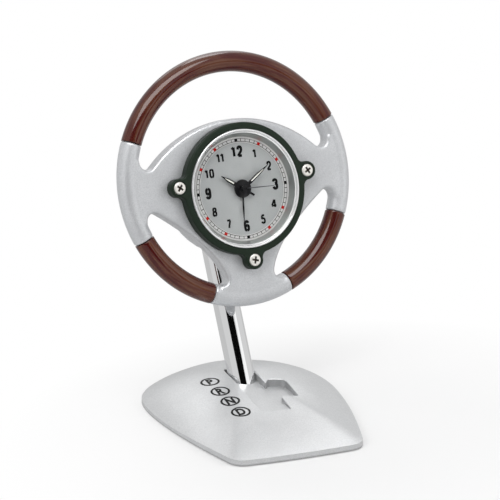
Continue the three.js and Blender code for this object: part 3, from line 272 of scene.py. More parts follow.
def bump(material, height, distance, strength):
    made = node(material, "Bump", {
        "Height": height, "Distance": distance * mm, "Strength": strength,
    })
    feed(material, "Normal", made.outputs["Normal"])


def mix_surface(material, share, second):
    mixed = node(material, "MixShader", {
        0: share, 1: principled(material).outputs[0], 2: second.outputs[0],
    })
    surface = material.node_tree.nodes["Material Output"].inputs["Surface"]
    material.node_tree.links.new(mixed.outputs[0], surface)

# %% [markdown]
# ## Silver paint
# The castings are sprayed with silver metallic paint. Close up it is grey lacquer with aluminium
# flakes a few tenths of a millimetre wide, so the colour sparkles slightly and the highlights are
# broad and soft. A Voronoi pattern gives each flake its own brightness, and a faint orange peel
# lies over it as bump. On the base, shade is painted into the colour: the cut walls of the gate,
# the outer lip and the foot of the lip are painted darker, as painted shade where less light reaches
# the paint.

# %% Silver paint
def flake_paint(name, dark, light, roughness, wall_shade=1.0, lip=1.0, foot=1.0):
    material = new_finish(name, light, 0.42, roughness)
    place = millimetres(material)
    flakes = node(material, "TexVoronoi", {"Vector": place, "Scale": 3.2})
    flake_tone = node(material, "SeparateColor", {"Color": flakes.outputs["Color"]}).outputs[0]
    tone = calculate(material, "MULTIPLY", flake_tone, noise(material, place, 0.09, 4))
    colour = ramp(material, tone, [(0.0, dark), (0.5, light)])
    # Painted shade: upright faces are painted darker, the gate's cut walls more than the outer lip,
    # and the paint is darker again near the floor, at the foot of the lip.
    height = split(material, place)[2]
    upright = split(material, node(material, "NewGeometry").outputs["Normal"])[2]
    wall_shade_tone = spread(material, height, lip, wall_shade, 3.4, 4.6)
    side_shade_tone = spread(material, upright, wall_shade_tone, 1.0, 0.1, 0.75)
    low = spread(material, height, foot, 1.0, 0.4, 1.3)
    share = calculate(material, "MULTIPLY", side_shade_tone, low)
    laid = node(material, "VectorMath", {0: colour, "Scale": share}, operation="SCALE")
    feed(material, "Base Color", laid.outputs[0])
    gloss(material, noise(material, place, 5.5, 2), roughness - 0.05, roughness + 0.08)
    bump(material, flake_tone, 0.012, 0.35)
    return material


silver_paint = flake_paint("silver paint", (0.51, 0.52, 0.535), (0.615, 0.625, 0.64), 0.34)
# The base paint carries painted shade on the gate's cut walls, on the outer lip and at the lip's
# foot.
base_paint = flake_paint(
    "base paint", (0.58, 0.588, 0.596), (0.68, 0.688, 0.696), 0.36, wall_shade=0.62, lip=0.95, foot=0.5,
)

# %% [markdown]
# ## Red wood under lacquer
# The rim's sleeves look like dark red burl under a thick clear coat. The figure runs along the
# rim, so the pattern is laid in the wheel's own polar coordinates: the angle runs along the rim,
# where a small share of the real length draws the figure out, and the distance from the middle and
# from the plane run across it.

# %% Red wood
def rim_wood():
    material = new_finish("red wood", (0.2, 0.04, 0.02), 0.0, 0.32, {
        "Specular IOR Level": 0.1, "Coat Weight": 1.0, "Coat Roughness": 0.05, "Coat IOR": 1.46,
    })
    place = millimetres(material, wheel_axes)
    x, y, z = split(material, place)
    angle = calculate(material, "ARCTAN2", y, x)
    along = calculate(material, "MULTIPLY", angle, rim_radius * 0.08)
    length = vector_step(material, "LENGTH", place)["Value"]
    run = node(material, "CombineXYZ", {"X": along, "Y": length, "Z": z}).outputs[0]
    bend = vector_step(material, "ADD", run, noise(material, run, 0.22, 2))[0]
    figure_tone = noise(material, bend, 0.5)
    streak = noise(material, bend, 1.3, 4, 0.6)
    tint(material, calculate(material, "MULTIPLY_ADD", streak, 0.45, figure_tone), [
        (0.58, (0.050, 0.002, 0.001)), (0.66, (0.062, 0.008, 0.004)),
        (0.74, (0.082, 0.022, 0.010)), (0.92, (0.105, 0.040, 0.021)),
    ])
    gloss(material, streak, 0.3, 0.4)
    bump(material, figure_tone, 0.002, 0.1)
    return material


red_wood = rim_wood()

# %% [markdown]
# ## Chrome, black ring, glass
# Chrome is a perfect mirror but for faint wiping marks in its gloss. The clamp ring is painted a
# very dark green black with a fine texture. The crystal is a thin flat glass: light has to pass it
# to reach the dial, so shadow rays, and rays that a surface scatters or mirrors, see it as clear.

# %% Chrome, ring black and glass
def polished(name, colour, roughness, marks=0.05, metallic=1.0):
    material = new_finish(name, colour, metallic, roughness)
    wiping = noise(material, millimetres(material), 0.35, 5, 0.65)
    gloss(material, wiping, roughness, roughness + marks)
    return material


def textured_black(name, colour, roughness, scale, depth, specular=0.5):
    material = new_finish(name, colour, 0.0, roughness, {"Specular IOR Level": specular})
    grain = noise(material, millimetres(material), scale, 3, 0.6)
    dark = tuple(0.6 * value for value in colour)
    light = tuple(1.5 * value for value in colour)
    tint(material, grain, [(0.3, dark), (0.7, light)])
    gloss(material, grain, roughness - 0.08, roughness + 0.1)
    bump(material, grain, depth, 0.4)
    return material


def clear_glass():
    clear_values = {"Transmission Weight": 1.0, "IOR": 1.45}
    material = new_finish("crystal glass", (1, 1, 1), 0.0, 0.0, clear_values)
    rays = node(material, "LightPath").outputs
    passed = calculate(material, "MAXIMUM", rays["Is Shadow Ray"], rays["Is Glossy Ray"])
    passed = calculate(material, "MAXIMUM", passed, rays["Is Diffuse Ray"])
    mix_surface(material, passed, node(material, "BsdfTransparent"))
    return material


chrome = polished("chrome", (0.90, 0.905, 0.91), 0.03)
screw_steel = polished("plated steel", (0.86, 0.84, 0.79), 0.3, 0.12, 0.55)
# Painted shade: a dark brown finish for the faces inside the screws' cross recesses.
painted_recess_shade = polished("painted recess shade", (0.13, 0.10, 0.075), 0.4, 0.2)
bright_lip = polished("bright lip", (0.94, 0.945, 0.95), 0.08, 0.04, 0.6)
inner_wall = polished("inner wall", (0.52, 0.54, 0.53), 0.3, 0.05)
ring_black = textured_black("ring black", (0.011, 0.019, 0.012), 0.40, 4.0, 0.02, 0.16)
crystal_glass = clear_glass()

# %% [markdown]
# ## Wheel casting
# The hub plate, its three spokes and three stretches of the rim are one casting. The flat plate is
# an outline that is filled, extruded and bevelled; the rim stretches are circles spun about the
# wheel's axis. A voxel remesh welds them into one skin and smoothing gives the soft fillets of a
# sand-polished casting.

# %% Arcs, curves and bearings
def on_angle(radius, angle, about=(0, 0)):
    return (about[0] + radius * math.cos(angle), about[1] + radius * math.sin(angle))


def arc(centre, radius, start, end, steps, clockwise=False):
    full = 2 * math.pi
    sweep = -((start - end) % full) if clockwise else (end - start) % full
    return [on_angle(radius, start + sweep * i / steps, centre) for i in range(steps + 1)]


def bezier(points, steps):
    degree = len(points) - 1
    made = []
    for i in range(steps):
        t = i / steps
        weights = [
            math.comb(degree, k) * (1 - t) ** (degree - k) * t ** k for k in range(degree + 1)
        ]
        made.append(tuple(sum(w * p[axis] for w, p in zip(weights, points)) for axis in (0, 1)))
    return made


def bearing(start, end):
    return math.atan2(end[1] - start[1], end[0] - start[0])


def mirrored(half):
    return half + [(-x, y) for x, y in reversed(half[1:-1])]

# %% Outline of the casting
def casting_outline():
    middle = (0, 0)
    inner = rim_radius - rim_tube + 0.6
    reach = rim_radius - 0.7
    corner, lower_corner, foot_corner = 3.8, 3.5, 2.8
    hub_arc = 60.3
    arc_y = 28.1 - hub_arc
    out = inner - corner
    fillet_y = (arc_y ** 2 - (hub_arc + corner) ** 2 + out ** 2) / (2 * arc_y)
    upper = (math.sqrt(out ** 2 - fillet_y ** 2), fillet_y)
    from_hub, from_middle = bearing((0, arc_y), upper), bearing(middle, upper)
    lower_angle, foot_angle = math.radians(-17.2), math.radians(-71.7)
    lower_end, foot_start = math.radians(128), math.radians(165.5)
    lower = on_angle(inner - lower_corner, lower_angle)
    foot = on_angle(inner - foot_corner, foot_angle)
    spoke_edge = bezier([
        on_angle(lower_corner, lower_end, lower), (30, -20.6), (15.5, -33),
        on_angle(foot_corner, foot_start, foot),
    ], 30)
    return mirrored(
        arc((0, arc_y), hub_arc, math.pi / 2, from_hub, 40, True)
        + arc(upper, corner, from_hub + math.pi, from_middle, 14)[1:]
        + arc(middle, reach, from_middle, lower_angle, 16, True)
        + arc(lower, lower_corner, lower_angle, lower_end, 14)
        + spoke_edge[1:]
        + arc(foot, foot_corner, foot_start, foot_angle, 12)
        + arc(middle, reach, foot_angle, -math.pi / 2, 12, True)
    )


wheel_outline = casting_outline()
print("casting outline points", len(wheel_outline))

# %% Plates, rods and tubes bent along the rim
def plate(outline, low, high, round_top=0.0, round_foot=0.0, segments=4):
    piece = loop_of(len(outline))
    for vertex, (x, y) in zip(piece.data.vertices, outline):
        vertex.co = (x, y, low)
    pick(piece, "VERT")
    bpy.ops.mesh.edge_face_add()
    bpy.ops.mesh.extrude_region_move(TRANSFORM_OT_translate={"value": (0, 0, high - low)})
    clean(piece)
    for level, size in ((high, round_top), (low, round_foot)):
        if size > 0:
            bevel_level(piece, level, size, segments)
    start_fresh()
    return piece


def rod(radius, low, high, sides, x=0.0, y=0.0):
    start_fresh()
    bpy.ops.mesh.primitive_cylinder_add(
        vertices=sides, radius=radius, depth=high - low, location=(x, y, (low + high) / 2),
    )
    return set_down(bpy.context.object)


def rim_arc(start, end, radius, sides=48, step=1.5):
    start_fresh()
    bpy.ops.mesh.primitive_circle_add(
        vertices=sides, radius=radius, location=(rim_radius, 0, 0), rotation=(math.pi / 2, 0, 0),
        fill_type="NOTHING",
    )
    piece = set_down(bpy.context.object)
    pick(piece, "VERT")
    steps = max(2, round(math.degrees(end - start) / step))
    bpy.ops.mesh.spin(steps=steps, angle=end - start, center=(0, 0, 0), axis=(0, 0, -1))
    bpy.ops.mesh.select_all(action="SELECT")
    bpy.ops.mesh.fill_holes(sides=0)
    clean(piece)
    return turned_to(piece, start)

# %% Make the casting
side_span = math.radians(24)
stem_span = math.radians(21)
peg_reach = 0.08
hub_back, hub_front, hub_edge = -3.9, 4.7, 1.5
casting_parts = [plate(wheel_outline, hub_back, hub_front, hub_edge, hub_edge)]
for middle, half in ((0, side_span), (math.pi, side_span), (-math.pi / 2, stem_span)):
    casting_parts.append(rim_arc(middle - half, middle + half, rim_tube))
    casting_parts.append(rim_arc(middle - half - peg_reach, middle + half + peg_reach, 2.2, 24))
casting = join_pieces(casting_parts)
apply_modifier(casting, "REMESH", mode="VOXEL", voxel_size=0.42, use_smooth_shade=True)
apply_modifier(casting, "SMOOTH", factor=0.5, iterations=24)
print("casting skin", len(casting.data.polygons))

# %% [markdown]
# The clock drops into a round bore in the hub, and three screws pass the hub's ears. These holes
# are cut after the smoothing so that their edges stay sharp.

# %% Bore the casting
screw_ring = 33.6
screw_angles = [math.radians(7.5), math.radians(172.5), -math.pi / 2]
screw_places = [on_angle(screw_ring, angle) for angle in screw_angles]
case_bore, seat_bore, screw_bore = 24.8, 27.2, 1.6
seat_level = 0.9
below, above = -10, 10
for radius, foot in ((case_bore, below), (seat_bore, seat_level)):
    combine(casting, rod(radius, foot, above, 160, 0, -clock_drop))
for x, y in screw_places:
    combine(casting, rod(screw_bore, below, above, 32, x, y - clock_drop))
settle(casting, "wheel_casting", wheel_axes, "stand", silver_paint, 40)
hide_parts("wheel_body")

# %% [markdown]
# ## Wood sleeves
# Each sleeve is a tube pushed over a peg. Its ends are cut square with a small rounded edge, and a
# hairline of shadow is left where it meets the silver.

# %% Make the sleeves
hairline = 0.3
end_round = 0.3
peg_bore = 2.5
past_end = 0.02


def sleeve(name, start, end, old):
    trim = hairline / rim_radius
    piece = rim_arc(start + trim, end - trim, rim_tube, 64, 1.2)
    ends = [face.index for face in piece.data.polygons if len(face.vertices) > 4]
    pick(piece, "FACE", lambda face: face.index in ends)
    bpy.ops.mesh.region_to_loop()
    bpy.ops.mesh.bevel(offset=end_round, segments=3, profile=0.5)
    combine(piece, rim_arc(start - past_end, end + past_end, peg_bore, 24, 3))
    settle(piece, name, wheel_axes, "stand", red_wood, 40)
    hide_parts(old)


stem = 1.5 * math.pi
sleeve("wood_sleeve_top", side_span, math.pi - side_span, "rim_sleeve_top")
sleeve("wood_sleeve_left", math.pi + side_span, stem - stem_span, "rim_sleeve_left")
sleeve("wood_sleeve_right", stem + stem_span, 2 * math.pi - side_span, "rim_sleeve_right")

# %% [markdown]
# ## Clamp ring and its screws
# A dark ring with three ears holds the clock insert in the hub. Its outline has a hollow on each
# side of every ear. It is made as the plate was, then bored for the insert and for the screw heads.

# %% Make the clamp ring
clamp_back = 5.0
clamp_front = 10.1
clamp_round = 0.8
insert_bore = 28.0
head_bore, head_depth = 3.2, 2.2
clear_top = 20


def clamp_outline():
    outer, ear, hollow = 31.0, 4.35, 3.0
    far, near = outer + hollow, ear + hollow
    offset = math.acos((far ** 2 + screw_ring ** 2 - near ** 2) / (2 * screw_ring * far))
    points = []
    for i, angle in enumerate(screw_angles):
        following = screw_angles[(i + 1) % 3]
        start, end = angle - offset, angle + offset
        middle, before, after = screw_places[i], on_angle(far, start), on_angle(far, end)
        to_before, to_after = bearing(middle, before), bearing(middle, after)
        points += arc(before, hollow, start + math.pi, to_before + math.pi, 8, True)
        points += arc(middle, ear, to_before, to_after, 28)[1:]
        points += arc(after, hollow, to_after + math.pi, end + math.pi, 8, True)[1:]
        points += arc((0, 0), outer, end, following - offset, 40)[1:-1]
    return points


ring = plate(clamp_outline(), clamp_back, clamp_front, clamp_round)
combine(ring, rod(insert_bore, 0, clear_top, 160))
for x, y in screw_places:
    combine(ring, rod(head_bore, clamp_front - head_depth, clear_top, 48, x, y))
settle(ring, "clock_clamp_ring", clock_axes, "stand", ring_black)
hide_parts("clamp_ring")

# %% [markdown]
# A plated pan-head screw: a short cylinder with a rounded shoulder, and a cross recess that
# narrows as it goes down. The faces of the recess are coloured dark brown as painted shade.
# One screw is modelled and copied, each copy with its own mesh.

# %% Make the screws
def cross_tool(top, reach, width, depth):
    bars = []
    for turn in (0, math.pi / 2):
        start_fresh()
        bpy.ops.mesh.primitive_cube_add(size=1)
        bar = bpy.context.object
        for vertex in bar.data.vertices:
            above = vertex.co.z > 0
            share = 1.0 if above else 0.55
            vertex.co.x *= 2 * reach * share
            vertex.co.y *= width * share
            vertex.co.z = top + 0.5 if above else top - depth
        bars.append(turned_to(bar, turn))
    combine(bars[0], bars[1], "UNION")
    return bars[0]


def pan_screw(head, height, shank, length, reach, width, depth):
    piece = rod(head, 0, height, 48)
    bevel_level(piece, height, height * 0.42, 5)
    combine(piece, cross_tool(height, reach, width, depth))
    combine(piece, rod(shank, -length, height * 0.3, 24), "UNION")
    return piece


recess = 1.95
head_level = clamp_front - 1.7
large_screw = pan_screw(
    head=2.95, height=1.9, shank=1.3, length=14.0, reach=recess, width=1.05, depth=1.25,
)
for i, (x, y) in enumerate(screw_places):
    hold(large_screw)
    bpy.ops.object.duplicate(linked=False)
    screw = bpy.context.object
    lift = Matrix.Translation((x * mm, y * mm, head_level * mm))
    seat = clock_axes @ (lift @ Matrix.Rotation(0.5 + 0.4 * i, 4, "Z"))
    settle(screw, f"ring_screw_{i + 1}", seat, "stand", screw_steel)
    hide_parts(f"clamp_screw_{i + 1}")
    # The recess faces get the dark finish: painted shade in the cross recess.
    line_faces(screw, seat, painted_recess_shade, 0.2, 1.8, recess)
bpy.data.objects.remove(large_screw)

# %% [markdown]
# ## Bezel and crystal
# The insert's chrome bezel is turned. Its section has a bright rolled lip, a step below it that
# seats the glass, and a sloping inner wall of a softer gloss, which faintly mirrors the printed
# ring. Spinning one section makes the whole bezel.

# %% Turned pieces
def turned(section, steps=160):
    piece = loop_of(len(section))
    for vertex, (radius, height) in zip(piece.data.vertices, section):
        vertex.co = (radius, 0, height)
    pick(piece, "VERT")
    bpy.ops.mesh.spin(steps=steps, angle=2 * math.pi, center=(0, 0, 0), axis=(0, 0, 1))
    clean(piece, 1e-3)
    return piece


def rounded(section, sizes, steps=5):
    points = []
    for i, corner in enumerate(section):
        size = sizes[i]
        if not size:
            points.append(corner)
            continue
        here = Vector(corner)
        back = (Vector(section[i - 1]) - here).normalized()
        ahead = (Vector(section[(i + 1) % len(section)]) - here).normalized()
        start, end = here + back * size, here + ahead * size
        for k in range(steps + 1):
            t = k / steps
            points.append(tuple((1 - t) ** 2 * start + 2 * t * (1 - t) * here + t * t * end))
    return points

# %% Make the bezel and the crystal
bezel_section = rounded([
    (28.9, 5.0), (28.9, 5.7), (27.7, 5.7), (27.7, 10.6), (26.9, 10.6), (26.8, 10.15),
    (26.8, 8.8), (26.1, 8.8), (24.3, 4.3), (26.1, 4.3), (26.1, 3.0), (26.9, 3.0), (26.9, 5.0),
], [0, 0.15, 0, 0.5, 0.25, 0, 0, 0.1, 0, 0, 0, 0, 0])
bezel_ring = turned(bezel_section)
settle(bezel_ring, "chrome_bezel", clock_axes, "stand", bright_lip)
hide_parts("bezel")
line_faces(bezel_ring, clock_axes, inner_wall, 4.4, 8.7, 26.0)

glass_radius, glass_back, glass_top = 26.5, 9.1, 10.1
glass = rod(glass_radius, glass_back, glass_top, 128)
bevel_level(glass, glass_top, 0.2, 2)
settle(glass, "crystal_disc", clock_axes, "stand", crystal_glass, 10)
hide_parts("crystal")

# %% [markdown]
# ## Dial
# The dial is a silver disc with black upright numerals and a white outer ring printed with a
# railway track. The prints are real, very thin pieces, so they stay sharp from close by. The
# disc's finish is fine sprayed silver.

# %% Dial finishes
def dial_silver():
    material = new_finish("dial silver", (0.44, 0.45, 0.45), 0.25, 0.46)
    place = millimetres(material)
    grain = noise(material, place, 7.0, 2)
    both = calculate(material, "MULTIPLY_ADD", grain, noise(material, place, 0.15, 2), 0.2)
    tint(material, both, [(0.35, (0.385, 0.40, 0.40)), (0.75, (0.445, 0.46, 0.46))])
    bump(material, grain, 0.01, 0.3)
    return material


def print_ink(name, colour):
    material = new_finish(name, colour, 0.0, 0.4, {"Specular IOR Level": 0.12})
    tooth = noise(material, millimetres(material), 6.0, 2)
    lighter = tuple(min(1.0, 1.6 * value + 0.004) for value in colour)
    tint(material, tooth, [(0.4, colour), (0.85, lighter)])
    gloss(material, tooth, 0.34, 0.5)
    return material


def matt_plastic(name, colour, roughness=0.45, scale=5.0, depth=0.015):
    material = new_finish(name, colour, 0.0, roughness)
    place = millimetres(material)
    grain = noise(material, place, scale, 3, 0.6)
    dark = tuple(0.88 * value for value in colour)
    tint(material, noise(material, place, 0.2), [(0.3, dark), (0.7, colour)])
    gloss(material, grain, roughness - 0.07, roughness + 0.08)
    bump(material, grain, depth, 0.4)
    return material


dial_finish = dial_silver()
ink_black = print_ink("black ink", (0.004, 0.004, 0.004))
ink_red = print_ink("red ink", (0.45, 0.012, 0.010))
track_white = matt_plastic("track white", (0.62, 0.62, 0.61), 0.5, 6.0, 0.005)

# %% Dial disc and track ring
dial_hole, dial_edge, track_edge = 3.0, 25.8, 21.6
dial_back, dial_top = 3.0, 3.5
track_back, track_top = 3.7, 4.0


def flat_ring(inner, back, top):
    return [(inner, back), (inner, top), (dial_edge, top), (dial_edge, back)]


disc = turned(flat_ring(dial_hole, dial_back, dial_top))
settle(disc, "dial_disc", clock_axes, "stand", dial_finish)
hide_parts("dial")
track = turned(rounded(flat_ring(track_edge, track_back, track_top), [0, 0.08, 0, 0]))
settle(track, "track_ring", clock_axes, "stand", track_white)
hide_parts("minute_track")

# %% [markdown]
# Sixty minute strokes stand between two hairlines. One stroke is drawn as a small flat plate and
# the spin operator repeats it round the dial, without joining the copies. The red and black hour
# blocks are drawn the same way, one plate for each.

# %% Print the track
thin_ink = 0.02
thick_ink = 0.03


def stroke(width, inner, turn=0.0, thick=thin_ink):
    half, outer = width / 2, 23.4
    corners = [(half, inner), (half, outer), (-half, outer), (-half, inner)]
    return turned_to(plate(corners, track_top, track_top + thick), -turn)


def hoop(radius, width, level):
    outer, top = radius + width, level + thin_ink
    return turned([(radius, level), (radius, top), (outer, top), (outer, level)], 120)


marks = stroke(0.3, 22.1)
pick(marks, "FACE")
bpy.ops.mesh.spin(steps=60, angle=2 * math.pi, dupli=True, center=(0, 0, 0), axis=(0, 0, 1))
clean(marks, 1e-5)
lines = [hoop(22.0, 0.24, track_top), hoop(23.35, 0.18, track_top)]
quarters = [stroke(1.5, 22.2, math.radians(angle)) for angle in (0, 90, 180, 270)]
black_marks = join_pieces([marks, *lines, *quarters])
settle(black_marks, "track_print_black", clock_axes, "stand", ink_black)
red_marks = join_pieces([
    stroke(1.5, 22.2, math.radians(30 * hour), thick_ink) for hour in (1, 2, 4, 5, 7, 8, 10, 11)
])
settle(red_marks, "track_print_red", clock_axes, "stand", ink_red)

# %% [markdown]
# The numerals are plain, bold and narrow. Each figure is drawn as a sign writer would: a few
# strokes of one pen width along smooth centre lines. The lines are given in a box that is two wide
# and one high. Two points make a straight stroke, and a spline through more of them makes a bend.

# %% Pen strokes
def spline(points, steps=7):
    made = []
    ends = [points[0], *points, points[-1]]
    for a, b, c, d in zip(ends, ends[1:], ends[2:], ends[3:]):
        for i in range(steps):
            t = i / steps
            made.append(tuple(
                0.5 * (2 * b[k] + (c[k] - a[k]) * t + (2 * a[k] - 5 * b[k] + 4 * c[k] - d[k]) * t * t
                       + (3 * b[k] - a[k] - 3 * c[k] + d[k]) * t ** 3)
                for k in (0, 1)
            ))
    return made + [points[-1]]


def ribbon(points, width, level, thick):
    left, right = [], []
    for i, point in enumerate(points):
        here = Vector(point)
        before = here - Vector(points[i - 1]) if i else Vector(points[1]) - here
        after = Vector(points[i + 1]) - here if i + 1 < len(points) else before
        first, second = before.normalized(), after.normalized()
        across = Vector((-first.y, first.x)) + Vector((-second.y, second.x))
        across *= width / 2 / max(0.5, 1 + first.dot(second))
        left.append(tuple(here + across))
        right.append(tuple(here - across))
    return plate(left + right[::-1], level, level + thick)


pen_lines = {
    "0": [[(0, 1), (-0.8, 0.92), (-1, 0.7), (-1, 0.3), (-0.8, 0.08), (0, 0)],
          [(0, 0), (0.8, 0.08), (1, 0.3), (1, 0.7), (0.8, 0.92), (0, 1)]],
    "1": [[(0.3, 0), (0.3, 1)], [(0.3, 0.98), (-0.9, 0.78)]],
    "2": [[(-1, 0.7), (-0.8, 0.92), (0, 1), (0.8, 0.92),
           (1, 0.74), (0.75, 0.5), (-0.75, 0.12), (-0.95, 0)],
          [(-1.1, 0), (1.1, 0)]],
    "3": [[(-1, 0.78), (-0.75, 0.94), (0, 1), (0.8, 0.92), (0.95, 0.76), (0.75, 0.6), (-0.1, 0.54)],
          [(-0.1, 0.54), (0.8, 0.47), (1, 0.28), (0.8, 0.07), (0, 0), (-0.8, 0.06), (-1, 0.24)]],
    "4": [[(0.45, 1), (-1.4, 0.26)], [(-1.6, 0.22), (1.6, 0.22)], [(0.7, 1), (0.7, 0)]],
    "5": [[(-0.8, 1), (0.95, 1)], [(-0.75, 1), (-0.85, 0.5)],
          [(-0.85, 0.52), (-0.2, 0.62), (0.75, 0.53), (1, 0.3),
           (0.75, 0.07), (0, 0), (-0.8, 0.06), (-1, 0.2)]],
    "6": [[(0.95, 0.8), (0.7, 0.95), (0, 1), (-0.8, 0.9),
           (-1, 0.65), (-1, 0.3), (-0.8, 0.08), (0, 0)],
          [(0, 0), (0.8, 0.07), (1, 0.29), (0.8, 0.51), (0, 0.57), (-0.85, 0.46)]],
    "7": [[(-1.1, 1), (1.15, 1)], [(1, 0.98), (0.45, 0.6), (0, 0.3), (-0.15, 0)]],
    "8": [[(0, 0.53), (-0.7, 0.6), (-0.88, 0.77), (-0.7, 0.94), (0, 1)],
          [(0, 1), (0.7, 0.94), (0.88, 0.77), (0.7, 0.6), (0, 0.53)],
          [(0, 0), (-0.8, 0.07), (-1, 0.27), (-0.8, 0.47), (0, 0.53)],
          [(0, 0.53), (0.8, 0.47), (1, 0.27), (0.8, 0.07), (0, 0)]],
}
pen_lines["9"] = [[(-x, 1 - y) for x, y in points] for points in pen_lines["6"]]


def numeral(words, height, pen_share):
    pen = height * pen_share
    half = height * 0.275 - pen / 2
    tall = height - pen
    gap = height * 0.09
    spans = [
        (0.5 * half + pen / 2, 0.3) if sign == "1" else (half + pen / 2, 0.0) for sign in words
    ]
    x = -(2 * sum(span for span, _ in spans) + gap * (len(words) - 1)) / 2
    strokes = []
    for sign, (span, lean) in zip(words, spans):
        middle = x + span
        for points in pen_lines[sign]:
            line = [
                (middle + (px - lean * 0.5) * half, py * tall - tall / 2) for px, py in points
            ]
            line = spline(line) if len(line) > 2 else line
            strokes.append(ribbon(line, pen, dial_top, thick_ink))
        x += 2 * span + gap
    return join_pieces(strokes)

# %% Print the numerals
# Each size holds the ring's radius, the height and the pen's width as a share of the height.
small_size, large_size = (17.9, 4.5, 0.212), (17.5, 5.5, 0.235)
numerals = []
for hour in range(1, 13):
    radius, height, pen_share = small_size if hour % 3 else large_size
    spot = on_angle(radius, math.pi / 2 - math.radians(30 * hour))
    sign = numeral(str(hour), height, pen_share)
    numerals.append(set_down(sign, Matrix.Translation((*spot, 0))))
numerals = join_pieces(numerals)
settle(numerals, "dial_numerals", clock_axes, "stand", ink_black)

# %% [markdown]
# ## Hands
# Four hands turn on one axis, each on its own pipe. The hour and minute hands are black lances
# with a pale inlay, the alarm hand is a plain black bar and the seconds hand is a thin grey needle
# under a black cap. A hand is a flat blank joined to a round boss, with its edges broken so that
# they catch the light. Each row gives the level of its back, the radius of the boss and its hole,
# the reach, half the width, the length of the tail and the angle in degrees.

# %% Blank of a hand
hand_black = textured_black("hand black", (0.005, 0.005, 0.006), 0.22, 6.0, 0.002, 0.35)
hand_silver = polished("hand silver", (0.10, 0.10, 0.11), 0.3, 0.1)
inlay_white = matt_plastic("inlay white", (0.86, 0.87, 0.80), 0.5, 6.0, 0.01)


def hand_blank(back, boss, hole, reach, half, tail, angle):
    shoulder = (boss + reach) / 2
    top = back + 0.35
    blade = plate([
        (-half / 2, -tail), (half / 2, -tail), (half, boss), (half, shoulder), (0.12, reach),
        (-0.12, reach), (-half, shoulder), (-half, boss),
    ], back, top - 0.03, 0.06, 0.0, 2)
    disc = rod(boss, back, top, 96)
    bevel_level(disc, top, 0.1, 3)
    combine(blade, disc, "UNION")
    combine(blade, rod(hole, back - 1, top + 1, 48))
    return turned_to(blade, -math.radians(angle))


def inlay(name, body, angle, inner, shoulder, outer, half, level):
    piece = plate([
        (half * 0.9, inner), (half, shoulder), (0.08, outer), (-0.08, outer), (-half, shoulder),
        (-half * 0.9, inner),
    ], level, level + 0.04)
    turned_to(piece, -math.radians(angle))
    settle(piece, name, clock_axes, body, inlay_white)

# %% Make the hands
hour_angle = 304.5
minute_angle = 56
hand_rows = [
    ("alarm_bar", "alarm_hand", "alarm", 4.5, 4.3, 2.85, 15.5, 0.4, 4.3, 185),
    ("hour_lance", "hour_hand", "hour", 5.3, 4.2, 2.05, 12.5, 0.95, 6.6, hour_angle),
    ("minute_lance", "minute_hand", "minute", 6.1, 3.0, 1.25, 17.1, 0.85, 3.0, minute_angle),
]
for name, old, body, *sizes in hand_rows:
    blank = hand_blank(*sizes)
    settle(blank, name, clock_axes, body, hand_black)
    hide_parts(old)
inlay("hour_inlay", "hour", hour_angle, 5.3, 8.0, 10.3, 0.33, 5.62)
inlay("minute_inlay", "minute", minute_angle, 5.4, 9.6, 13.8, 0.30, 6.42)

needle = hand_blank(6.9, 1.5, 0.5, 15.8, 0.22, 1.5, 92)
settle(needle, "seconds_needle", clock_axes, "second", hand_silver)
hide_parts("second_hand")
cap_section = [(0.0, 8.25), (1.5, 8.25), (1.5, 7.2), (0.0, 7.2)]
seconds_cap = turned(rounded(cap_section, [0, 0.4, 0, 0], 6), 96)
settle(seconds_cap, "seconds_cap", clock_axes, "second", hand_black)

# %% [markdown]
# ## Base
# The base is a low dome, steep at its sides and drawn out to a thin flat lip in front. It starts
# as a circle laid on the base's outline, and is extruded inwards ring by ring; each ring is then
# lifted to the dome's height. The inside is the same dome, smaller, cut away.

# %% Base outline and dome height
half_width = 46.7
front = 80.5
back = 41
base_shift = -1.7
dome_top = 13.4
side_lip, front_lip = 2.5, 3.2
side_power, front_power = 3, 1.8


def base_outline():
    runs = [
        (14, [(0, -1), (0.2735, -1), (0.547, -0.989)]),
        (12, [(0.547, -0.989), (0.67, -0.982), (0.705, -0.907)]),
        (34, [(0.705, -0.907), (0.8, -0.723), (0.99, -0.343), (1, -0.038)]),
        (14, [(1, -0.038), (1, 0.18), (0.968, 0.339), (0.895, 0.451)]),
        (14, [(0.895, 0.451), (0.81, 0.62), (0.653, 0.756), (0.568, 0.804)]),
        (16, [(0.568, 0.804), (0.4, 0.903), (0.19, 1), (0, 1)]),
    ]
    half = []
    for steps, shares in runs:
        half += bezier([(x * half_width, y * (front if y < 0 else back)) for x, y in shares], steps)
    return mirrored(half + [(0, back)])


def smoothstep(value, low, high):
    t = min(1.0, max(0.0, (value - low) / (high - low)))
    return t * t * (3 - 2 * t)


def dome_height(y, share):
    fade = smoothstep(-y / front, 0.25, 0.95)
    lip = side_lip + (front_lip - side_lip) * fade
    power = side_power + (front_power - side_power) * fade
    return lip + (dome_top - lip) * (1 - share ** power)


rim_points = base_outline()
rim_edges = list(zip(rim_points, rim_points[1:] + rim_points[:1]))
print("base outline points", len(rim_points))

# %% Height of any point of the dome
def edge_share(x, y):
    for (ax, ay), (bx, by) in rim_edges:
        across = x * (by - ay) - y * (bx - ax)
        if abs(across) < 1e-9:
            continue
        reach = (ax * by - ay * bx) / across
        along = (ax * y - ay * x) / across
        if reach > 0 and -1e-6 <= along <= 1 + 1e-6:
            return 1 / reach
    return 0.0


def surface_height(x, y):
    x -= base_shift
    if abs(x) + abs(y) < 1e-6:
        return dome_top
    share = edge_share(x, y)
    return dome_height(y / share, share)

# %% Build the dome from rings
ring_shares = [1, 0.995, 0.985, 0.97, 0.95, 0.925] + [0.9 - 0.03 * i for i in range(29)]
edge_wall = 0.45


